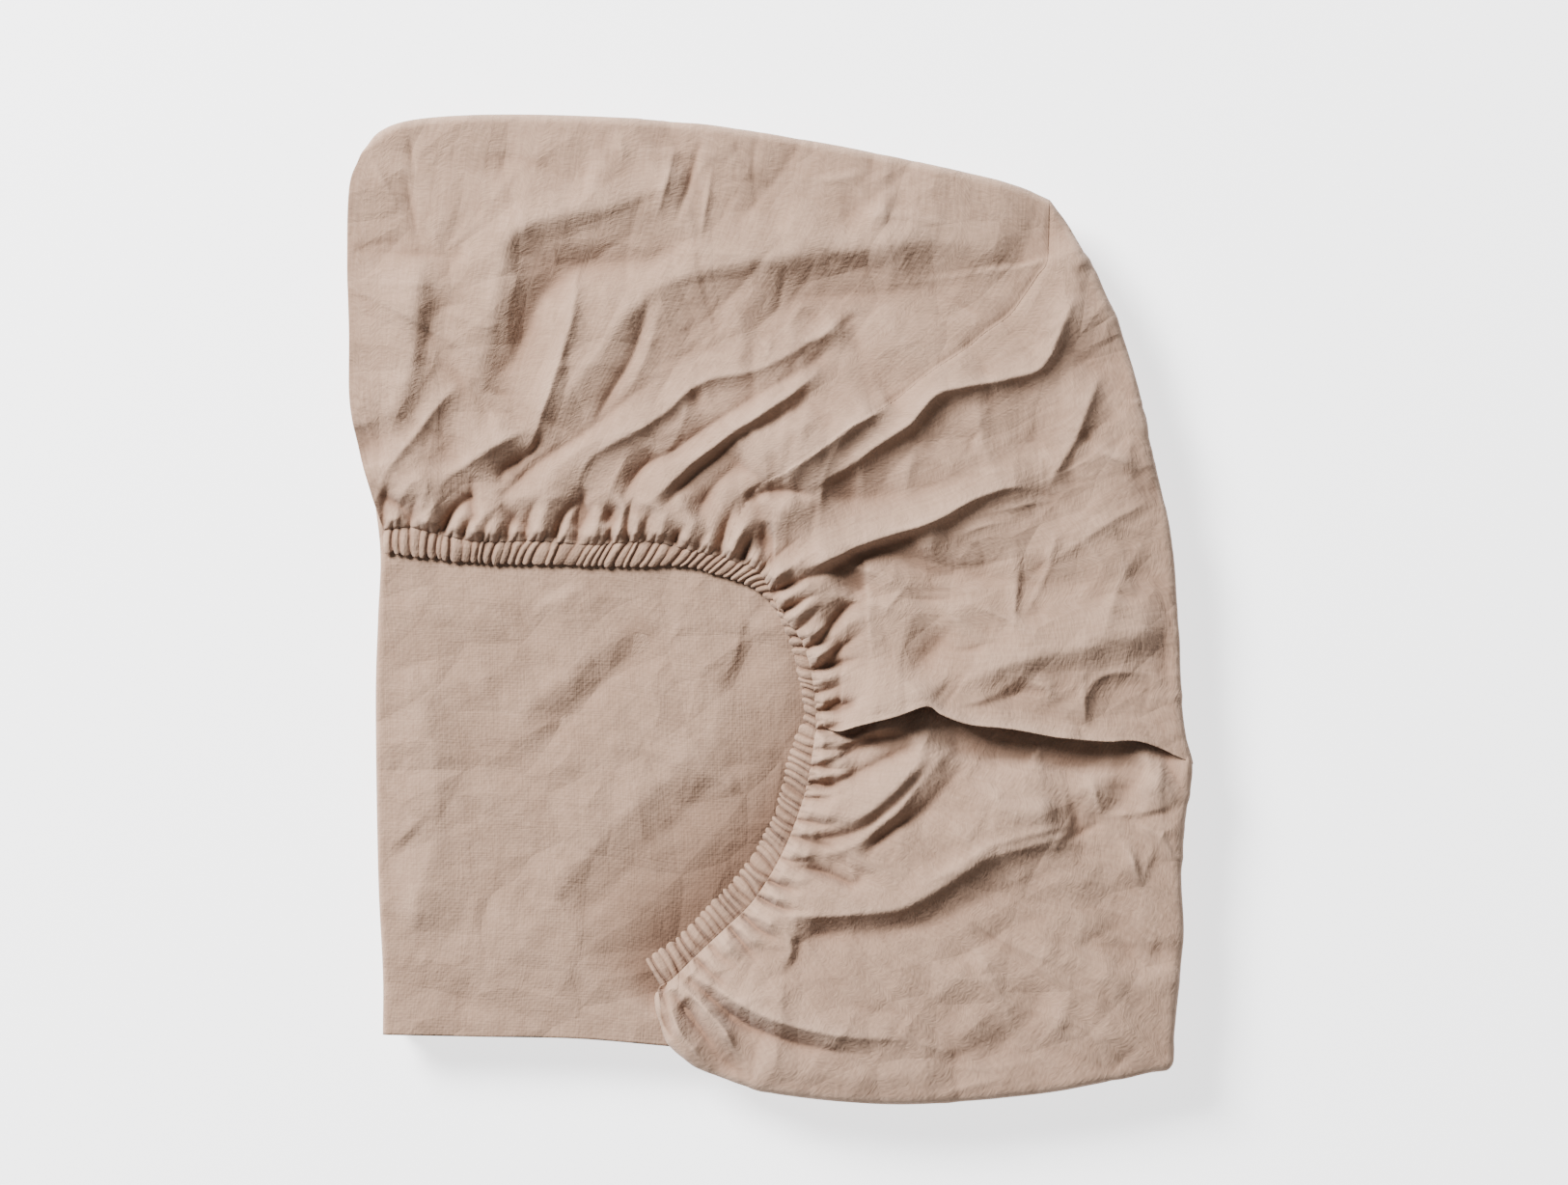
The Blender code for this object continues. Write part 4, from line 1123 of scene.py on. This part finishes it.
def layer_rows(layers, thickness):
    """Return the middle points of the cloth's run back and forth, and which way its upper side faces.

    They are in rows along the run. Each layer runs level between its two ends, and a half turn leads up from
    it to the next one.
    """
    stations = np.linspace(0.0, 1.0, LAYER_STATIONS + 1)
    left, right = spaced(LAYERS_LEFT, stations), spaced(LAYERS_RIGHT, stations)
    left_out, right_out = outward(left, -1), outward(right, 1)
    middles, facings = [], []
    for layer in range(layers):
        runs_right = layer % 2 == 0
        left_turn, right_turn = (layer - 1, layer) if runs_right else (layer, layer - 1)
        left_end = layer_end(left, left_out, left_turn, stations)
        right_end = layer_end(right, right_out, right_turn, stations)
        if layer == 0:
            left_end = left_end - left_out * LOWEST_INSET
        facing = 1.0 if runs_right else -1.0
        for share in np.linspace(0.0, 1.0, LAYER_ROWS)[::1 if runs_right else -1]:
            plan = left_end * (1 - share) + right_end * share
            plan[:, 1] -= front_bow(stations, share, layer)
            middles.append(with_height(plan, layer_height(plan, layer, layers, thickness)))
            facings.append(np.broadcast_to((0.0, 0.0, facing), middles[-1].shape))
        if layer == layers - 1:
            break
        end, out = (right_end, right_out) if runs_right else (left_end, left_out)
        low, high = (layer_height(end, number, layers, thickness) for number in (layer, layer + 1))
        end = end.copy()
        end[:, 1] -= front_bow(stations, 1.0 if runs_right else 0.0, layer)
        for step in range(1, LAYER_TURN_CELLS):
            angle = math.pi * (step / LAYER_TURN_CELLS - 0.5)
            lean = with_height(out * math.cos(angle), math.sin(angle))
            middles.append(with_height(end, (low + high) / 2) + lean * ((high - low) / 2)[:, None])
            facings.append(lean * -facing)
    return np.stack(middles, axis=1), np.stack(facings, axis=1)


def hem_shape(settings):
    """Return the hem's grid of points, how far along the stitch line each station lies, angles and ridges.

    The section is a flattened round between the stitch line and the free edge. Each pleat raises it and
    widens its free side, and its height falls to nought at both ends of the band.
    """
    stations = np.linspace(0.0, 1.0, HEM_CELLS[0] + 1)
    stitch, free = spaced(hem_line(), stations), spaced(plan_mm(FREE_EDGE), stations)
    along = arc_lengths(stitch)
    across = free - stitch
    width = np.linalg.norm(across, axis=1)
    across = across / width[:, None]
    angle = np.linspace(0.0, 2 * math.pi, HEM_CELLS[1], endpoint=False)[None, :]
    free_side = np.clip(np.cos(angle), 0.0, 1.0)
    over = 0.5 + 0.5 * np.cos(angle)
    sway = stray(np.stack(np.broadcast_arrays(along[:, None], over * HEM_DEPTH), axis=-1), HEM_SWAY)
    slant = stray(np.column_stack((along, 0 * along)), HEM_SLANT)[:, None]
    ridge = gather_pair(settings)[0].ridge(along[:, None] + sway + slant * (over - SLANT_MIDDLE))
    ends = np.clip(np.minimum(along, along[-1] - along) / HEM_END_FADE, 0.0, 1.0)[:, None] ** HEM_END_POWER
    half = settings.hem_thickness / METRES_PER_MM / 2
    rounded = np.sign(np.cos(angle)) * np.abs(np.cos(angle)) ** HEM_SIDE_POWER
    spread = (width[:, None] / 2 + HEM_WIDENING) * rounded
    spread = spread + (ridge - SCALLOP_MIDDLE) * SCALLOP_DEPTH * free_side
    strength = PLEAT_DEPTH * np.interp(along, PLEAT_PLACES, PLEAT_STRENGTHS)[:, None]
    lift = half * np.sign(np.sin(angle)) * np.abs(np.sin(angle)) ** HEM_TOP_POWER
    lift = lift * (1 - FREE_SIDE_DROP * free_side) * (PLEAT_LIFT + strength * (ridge - 1)) * ends
    middle = (stitch + free) / 2
    plan = middle[:, None, :] + across[:, None, :] * spread[..., None]
    points = np.dstack((plan, base_height(middle)[:, None] + half + HEM_GAP + lift))
    return points, along, angle, ridge


def add_hem(settings):
    """Make the hem: its grid closed around, with a fan of triangles over each end."""
    points, along, angle, ridge = hem_shape(settings)
    stations, around = points.shape[:2]
    index = np.arange(stations * around).reshape(stations, around)
    beside = np.roll(index, -1, axis=1)
    quads = np.stack((index[:-1], index[1:], beside[1:], beside[:-1]), axis=-1).reshape(-1, 4)
    centres = np.stack((points[0].mean(axis=0), points[-1].mean(axis=0)))
    triangles = np.concatenate((
        np.stack((index[0], beside[0], np.full(around, stations * around)), axis=1),
        np.stack((beside[-1], index[-1], np.full(around, stations * around + 1)), axis=1),
    ))
    length = along * HEM_FULLNESS
    girth = angle / (2 * math.pi) * HEM_GIRTH
    flat = np.stack(np.broadcast_arrays(length[:, None], girth), axis=-1).reshape(-1, 2)
    flat = np.concatenate((flat, ((0.0, 0.0), (length[-1], 0.0))))
    # Painted shade in the pleats' grooves and a faint painted highlight on their tops
    slope, offset, least, most = HEM_RELIEF
    relief = np.append(np.clip(ridge * slope + offset, least, most), (0.0, 0.0))
    points = np.concatenate((points.reshape(-1, 3), centres))
    return add_piece("elastic_hem", points, quads, triangles, flat, relief)


def add_node(tree, kind, inputs, **settings):
    """Return a new node with its own settings. An input takes a constant or another node's output."""
    node = tree.nodes.new(kind)
    for name, value in settings.items():
        setattr(node, name, value)
    for name, value in inputs.items():
        if isinstance(value, bpy.types.NodeSocket):
            tree.links.new(value, node.inputs[name])
        else:
            node.inputs[name].default_value = value
    return node


def add_math(tree, operation, *values):
    """Return the output of a new math node over up to two values or outputs."""
    return add_node(tree, "ShaderNodeMath", dict(enumerate(values)), operation=operation).outputs[0]


def height_group(name, rate=None):
    """Return a new node group that takes a place and puts out a height, and its input node's outputs.

    rate is the name and the usual value of its second input, where it has one.
    """
    tree = bpy.data.node_groups.new(name, "ShaderNodeTree")
    tree.interface.new_socket(name="Place", in_out="INPUT", socket_type="NodeSocketVector")
    if rate is not None:
        made = tree.interface.new_socket(name=rate[0], in_out="INPUT", socket_type="NodeSocketFloat")
        made.default_value = rate[1]
    tree.interface.new_socket(name="Height", in_out="OUTPUT", socket_type="NodeSocketFloat")
    return tree, tree.nodes.new("NodeGroupInput").outputs


def weave_group():
    """Return the node group of the plain weave: the waves of its two threads, one times the other."""
    tree, into = height_group("plain_weave", ("Threads per metre", 2400.0))
    split = add_node(tree, "ShaderNodeSeparateXYZ", {0: into["Place"]})
    waves = []
    for axis in ("X", "Y"):
        turns = add_math(tree, "MULTIPLY", split.outputs[axis], into["Threads per metre"])
        waves.append(add_math(tree, "SINE", turns))
    add_node(tree, "NodeGroupOutput", {"Height": add_math(tree, "MULTIPLY", *waves)})
    return tree


def slubs_group():
    """Return the node group of the yarn's slubs: noise drawn out along the threads of each direction."""
    tree, into = height_group("yarn_slubs")
    yarns = []
    for scale in ((1250.0, 110.0, 1.0), (130.0, 1350.0, 1.0)):
        drawn = add_node(tree, "ShaderNodeVectorMath", {0: into["Place"], 1: scale}, operation="MULTIPLY")
        inputs = {"Vector": drawn.outputs["Vector"], "Scale": 1.0, "Detail": 2.0}
        yarns.append(add_node(tree, "ShaderNodeTexNoise", inputs).outputs["Fac"])
    mean = add_math(tree, "MULTIPLY", add_math(tree, "ADD", *yarns), 0.5)
    add_node(tree, "NodeGroupOutput", {"Height": mean})
    return tree


def creases_group():
    """Return the node group of the small dry creases: thin furrows where noise crosses its middle value."""
    tree, into = height_group("dry_creases", ("Creases per metre", 60.0))
    noise = add_node(tree, "ShaderNodeTexNoise", {
        "Vector": into["Place"], "Scale": into["Creases per metre"], "Detail": 3.0, "Roughness": 0.55,
        "Distortion": 0.6,
    })
    offset = add_math(tree, "SUBTRACT", noise.outputs["Fac"], 0.5)
    add_node(tree, "NodeGroupOutput", {"Height": add_math(tree, "ABSOLUTE", offset)})
    return tree


def facets_group():
    """Return the node group of the crumpled cloth's flat facets: tents over the cells of a bent pattern."""
    tree, into = height_group("crumpled_facets", ("Facets per metre", 45.0))
    warp = add_node(tree, "ShaderNodeTexNoise", {"Vector": into["Place"], "Scale": 14.0, "Detail": 1.0})
    inputs = {0: warp.outputs["Color"], 1: (0.03, 0.03, 0.0), 2: into["Place"]}
    bent = add_node(tree, "ShaderNodeVectorMath", inputs, operation="MULTIPLY_ADD")
    inputs = {"Vector": bent.outputs["Vector"], "Scale": into["Facets per metre"]}
    pattern = {"feature": "DISTANCE_TO_EDGE", "voronoi_dimensions": "2D"}
    cells = add_node(tree, "ShaderNodeTexVoronoi", inputs, **pattern)
    add_node(tree, "NodeGroupOutput", {"Height": cells.outputs["Distance"]})
    return tree


def cloth_material(settings):
    """Return the washed cotton: mottled, with painted shade in hollows and a painted highlight on ridges,
    woven and creased.
    """
    material = bpy.data.materials.new(CLOTH_FINISH + "_cloth")
    material.use_nodes = True
    tree = material.node_tree
    shader = tree.nodes["Principled BSDF"]
    shader.inputs["Roughness"].default_value = 0.92
    shader.inputs["Specular IOR Level"].default_value = 0.2
    shader.inputs["Sheen Weight"].default_value = 0.12
    shader.inputs["Sheen Roughness"].default_value = 0.6
    place = tree.nodes.new("ShaderNodeTexCoord").outputs

    def height_of(group, coordinates, rates=()):
        """Return the height from one of the node groups, with rates for the inputs after its place."""
        inputs = {"Place": place[coordinates], **dict(enumerate(rates, 1))}
        return add_node(tree, "ShaderNodeGroup", inputs, node_tree=group).outputs["Height"]

    def tinted(share, under, over):
        """Return a share of one colour over another."""
        inputs = {"Factor": share, 6: under, 7: over}
        return add_node(tree, "ShaderNodeMix", inputs, data_type="RGBA").outputs[2]

    slubs = height_of(slubs_group(), "UV")
    inputs = {"Vector": place["Object"], "Scale": 90.0, "Detail": 6.0, "Roughness": 0.65}
    mottle = add_node(tree, "ShaderNodeTexNoise", inputs).outputs["Fac"]
    mottled = add_node(tree, "ShaderNodeMix", {"Factor": 0.65, "A": mottle, "B": slubs}).outputs["Result"]
    inputs = {"Value": mottled, "From Min": 0.41, "From Max": 0.59}
    spread = add_node(tree, "ShaderNodeMapRange", inputs).outputs["Result"]
    colour = tinted(spread, settings.shade_colour, settings.colour)
    relief = add_node(tree, "ShaderNodeAttribute", {}, attribute_name="relief").outputs["Fac"]
    # Painted shade: the hollows are mixed towards a dark colour. Painted highlight: the ridges towards a
    # pale one.
    for full, share, tone in ((-1.0, 0.75, settings.hollow_shade_colour), (1.0, 0.3, settings.ridge_highlight_colour)):
        inputs = {"Value": relief, "From Min": 0.0, "From Max": full, "To Max": share}
        colour = tinted(add_node(tree, "ShaderNodeMapRange", inputs).outputs["Result"], colour, tone)
    tree.links.new(colour, shader.inputs["Base Color"])
    facets = facets_group()
    bumps = (
        (height_of(facets, "Object", (34.0,)), 0.8, 0.0034),
        (height_of(facets, "Object", (90.0,)), 0.8, 0.0006),
        (height_of(creases_group(), "Object", (70.0,)), 0.2, 0.004),
        (slubs, 0.5, 0.0008),
        (height_of(weave_group(), "UV"), 0.3, 0.0001),
    )
    before = {}
    for height, strength, distance in bumps:
        inputs = {"Height": height, "Strength": strength, "Distance": distance, **before}
        before = {"Normal": add_node(tree, "ShaderNodeBump", inputs).outputs["Normal"]}
    tree.links.new(before["Normal"], shader.inputs["Normal"])
    return material


def finish_material():
    """Return the cloth's material, made once and shared by all the pieces."""
    made = bpy.data.materials.get(CLOTH_FINISH + "_cloth")
    return made or cloth_material(bpy.context.scene.fitted_sheet)


class FittedSheetSettings(bpy.types.PropertyGroup):
    """Sizes and colours of the sheet."""

    thickness: FloatProperty(
        name="Cloth thickness", description="Thickness of one layer of the cloth", unit="LENGTH",
        default=0.0009, min=0.0004, max=0.002, precision=4,
    )
    fold_height: FloatProperty(
        name="Fold height", description="How strong the skirt's folds are, as a share of those read",
        default=1.0, min=0.2, max=1.5,
    )
    layers: IntProperty(
        name="Layers", description="Layers in the parcel under the base panel", default=11, min=3, max=13,
    )
    gather_depth: FloatProperty(
        name="Gather depth", description="Depth of the gathers beside the hem", unit="LENGTH",
        default=0.0026, min=0.0002, max=0.004, precision=4,
    )
    gather_pitch: FloatProperty(
        name="Gather pitch", description="Mean distance between two gathers of the hem", unit="LENGTH",
        default=0.0038, min=0.002, max=0.01, precision=4,
    )
    hem_thickness: FloatProperty(
        name="Hem thickness", description="Thickness of the hem around its elastic", unit="LENGTH",
        default=0.0038, min=0.002, max=0.006, precision=4,
    )
    colour: FloatVectorProperty(
        name="Cloth colour", description="Colour of the washed cotton", subtype="COLOR", size=4,
        default=(0.345, 0.22, 0.153, 1.0), min=0.0, max=1.0,
    )
    shade_colour: FloatVectorProperty(
        name="Mottle colour", description="Darker colour of the mottling", subtype="COLOR", size=4,
        default=(0.285, 0.177, 0.12, 1.0), min=0.0, max=1.0,
    )
    # Painted shade: the dark colour that the hollows of folds and gathers are mixed towards
    hollow_shade_colour: FloatVectorProperty(
        name="Hollow colour", description="Colour deep in the folds and gathers", subtype="COLOR", size=4,
        default=(0.17, 0.09, 0.055, 1.0), min=0.0, max=1.0,
    )
    # Painted highlight: the pale colour that the raised creases and the rim are mixed towards
    ridge_highlight_colour: FloatVectorProperty(
        name="Highlight colour", description="Paler colour of the raised creases", subtype="COLOR", size=4,
        default=(0.50, 0.35, 0.26, 1.0), min=0.0, max=1.0,
    )


class StageSettings(bpy.types.PropertyGroup):
    """Floor, light and camera."""

    floor_colour: FloatVectorProperty(
        name="Floor colour", description="Colour of the plain pale floor", subtype="COLOR", size=4,
        default=(0.86, 0.86, 0.87, 1.0), min=0.0, max=1.0,
    )
    floor_glow: FloatProperty(
        name="Floor glow", description="Light that comes from the floor itself, as from a light table",
        default=2.0, min=0.0, max=5.0,
    )
    light_power: FloatProperty(
        name="Light power", description="Power of the main soft light", subtype="POWER", unit="POWER",
        default=345.0, min=1.0, max=1000.0,
    )
    camera_height: FloatProperty(
        name="Camera height", description="Height of the camera over the floor", unit="LENGTH",
        default=1.83, min=0.8, max=4.0,
    )


class FITTEDSHEET_OT_layers(bpy.types.Operator):
    """Make the flat layers of the parcel, folded back and forth"""

    bl_idname = "fitted_sheet.layers"
    bl_label = "Folded layers"

    def execute(self, context):
        settings = context.scene.fitted_sheet
        thickness = settings.thickness / METRES_PER_MM
        middle, facing = layer_rows(settings.layers, thickness)
        # The under side takes every second row, so that their number has to be odd
        if middle.shape[1] % 2 == 0:
            middle, facing = middle[:, :-1], facing[:, :-1]
        flat = np.stack((grid_lengths(middle, 1), grid_lengths(middle, 0)), axis=-1)
        top, low = middle + facing * thickness / 2, middle - facing * thickness / 2
        piece = add_shell("folded_layers", top, low, flat)
        declare(piece)
        return {"FINISHED"}


class FITTEDSHEET_OT_base_panel(bpy.types.Operator):
    """Make the top layer, whose open part is the sheet's base panel"""

    bl_idname = "fitted_sheet.base_panel"
    bl_label = "Base panel"

    def execute(self, context):
        piece = add_base_panel(context.scene.fitted_sheet)
        declare(piece)
        return {"FINISHED"}


class FITTEDSHEET_OT_skirt(bpy.types.Operator):
    """Make the three parts of the folded skirt: back, right and front"""

    bl_idname = "fitted_sheet.skirt"
    bl_label = "Skirt"

    def execute(self, context):
        settings = context.scene.fitted_sheet
        gathers = gather_pair(settings)
        upper = skirt_field(UPPER_FOLDS, UPPER_CREASES, UPPER_LOOSE)
        front = skirt_field(FRONT_FOLDS, FRONT_CREASES, FRONT_LOOSE)
        back_hem, right_hem, front_hem = plan_mm(STITCH_BACK), plan_mm(STITCH_RIGHT), plan_mm(STITCH_FRONT)
        right_start = arc_lengths(smooth_path(back_hem))[-1]
        front_start = right_start + arc_lengths(smooth_path(right_hem))[-1]
        dart, overhang = plan_mm(DART_SEAM), plan_mm(OVERHANG_EDGE)
        tucked = overhang + (0.0, OVERHANG_REACH)
        tucked[0], tucked[-1] = front_hem[0], CORNER_EDGE[0]
        closing = (front_hem[-1], CORNER_EDGE[-1])
        parts = (
            ("skirt_back", back_hem, BACK_EDGE, SIDE_EDGE, dart, upper, BACK_CELLS, 0.0),
            ("skirt_right", right_hem, RIGHT_EDGE, dart, overhang, upper, RIGHT_CELLS, right_start),
            ("skirt_front", front_hem, CORNER_EDGE, tucked, closing, front, FRONT_CELLS, front_start),
        )
        for name, hem, outline, near, far, field, cells, start in parts:
            piece = add_skirt(name, hem, outline, near, far, field, cells, settings, gathers, start)
            declare(piece)
        return {"FINISHED"}


class FITTEDSHEET_OT_elastic_hem(bpy.types.Operator):
    """Make the gathered casing around the elastic"""

    bl_idname = "fitted_sheet.elastic_hem"
    bl_label = "Elastic hem"

    def execute(self, context):
        piece = add_hem(context.scene.fitted_sheet)
        declare(piece)
        return {"FINISHED"}


class FITTEDSHEET_OT_stage(bpy.types.Operator):
    """Make the floor, the soft light and the camera"""

    bl_idname = "fitted_sheet.stage"
    bl_label = "Stage"

    def execute(self, context):
        settings = context.scene.fitted_stage
        reach = FLOOR_REACH
        corners = [(-reach, -reach, 0.0), (reach, -reach, 0.0), (reach, reach, 0.0), (-reach, reach, 0.0)]
        mesh = bpy.data.meshes.new("floor")
        mesh.from_pydata(corners, [], [(0, 1, 2, 3)])
        mesh.materials.append(floor_material(settings))
        floor = bpy.data.objects.new("floor", mesh)
        context.scene.collection.objects.link(floor)
        add_light("main_light", *MAIN_LIGHT, settings.light_power)
        add_light("fill_light", *FILL_LIGHT, settings.light_power * FILL_SHARE)
        world = bpy.data.worlds.new("studio")
        world.use_nodes = True
        world.node_tree.nodes["Background"].inputs["Color"].default_value = SKY_COLOUR
        world.node_tree.nodes["Background"].inputs["Strength"].default_value = SKY_STRENGTH
        context.scene.world = world
        add_camera(settings.camera_height)
        return {"FINISHED"}


def floor_material(settings):
    """Return the floor's pale matt material with its faint glow."""
    material = bpy.data.materials.new("pale_floor")
    material.use_nodes = True
    shader = material.node_tree.nodes["Principled BSDF"]
    shader.inputs["Base Color"].default_value = settings.floor_colour
    shader.inputs["Roughness"].default_value = 0.85
    shader.inputs["Emission Color"].default_value = GLOW_COLOUR
    shader.inputs["Emission Strength"].default_value = settings.floor_glow
    return material


def add_light(name, place, size, power):
    """Add a square soft light that looks at the middle of the parcel."""
    data = bpy.data.lights.new(name, "AREA")
    data.size = size
    data.energy = power
    light = bpy.data.objects.new(name, data)
    light.location = place
    light.rotation_euler = mathutils.Vector(place).to_track_quat("Z", "Y").to_euler()
    bpy.context.scene.collection.objects.link(light)


def add_camera(height):
    """Add the camera over the photograph's middle, whose frame is the photograph's at the base panel."""
    middle = plan_mm((PHOTO_SIZE[0] / 2, PHOTO_SIZE[1] / 2)) * METRES_PER_MM
    data = bpy.data.cameras.new("camera")
    data.sensor_width = SENSOR_WIDTH
    width = PHOTO_SIZE[0] * PIXEL_MM * METRES_PER_MM
    data.lens = SENSOR_WIDTH * (height - BASE_LEVEL * METRES_PER_MM) / width
    camera = bpy.data.objects.new("camera", data)
    camera.location = (middle[0], middle[1], height)
    bpy.context.scene.collection.objects.link(camera)
    bpy.context.scene.camera = camera


class FITTEDSHEET_PT_panel(bpy.types.Panel):
    """Lists the sheet's pieces and their sizes"""

    bl_idname = "FITTEDSHEET_PT_panel"
    bl_label = "Fitted sheet"
    bl_space_type = "VIEW_3D"
    bl_region_type = "UI"
    bl_category = "Fitted sheet"

    def draw(self, context):
        for group in (context.scene.fitted_sheet, context.scene.fitted_stage):
            column = self.layout.column()
            for name in group.__annotations__:
                column.prop(group, name)
        for operator in OPERATORS:
            self.layout.operator(operator.bl_idname)


OPERATORS = (
    FITTEDSHEET_OT_stage,
    FITTEDSHEET_OT_layers,
    FITTEDSHEET_OT_base_panel,
    FITTEDSHEET_OT_skirt,
    FITTEDSHEET_OT_elastic_hem,
)
CLASSES = (FittedSheetSettings, StageSettings, *OPERATORS, FITTEDSHEET_PT_panel)


def register():
    """Register the classes and the settings on the scene."""
    for cls in CLASSES:
        bpy.utils.register_class(cls)
    bpy.types.Scene.fitted_sheet = PointerProperty(type=FittedSheetSettings)
    bpy.types.Scene.fitted_stage = PointerProperty(type=StageSettings)


def unregister():
    """Take the settings and the classes away again."""
    del bpy.types.Scene.fitted_stage
    del bpy.types.Scene.fitted_sheet
    for cls in reversed(CLASSES):
        bpy.utils.unregister_class(cls)


def main():
    """Build the stage and the pieces."""
    register()
    bpy.ops.fitted_sheet.stage()
    bpy.ops.fitted_sheet.layers()
    bpy.ops.fitted_sheet.base_panel()
    bpy.ops.fitted_sheet.skirt()
    bpy.ops.fitted_sheet.elastic_hem()


if __name__ == "__main__":
    main()
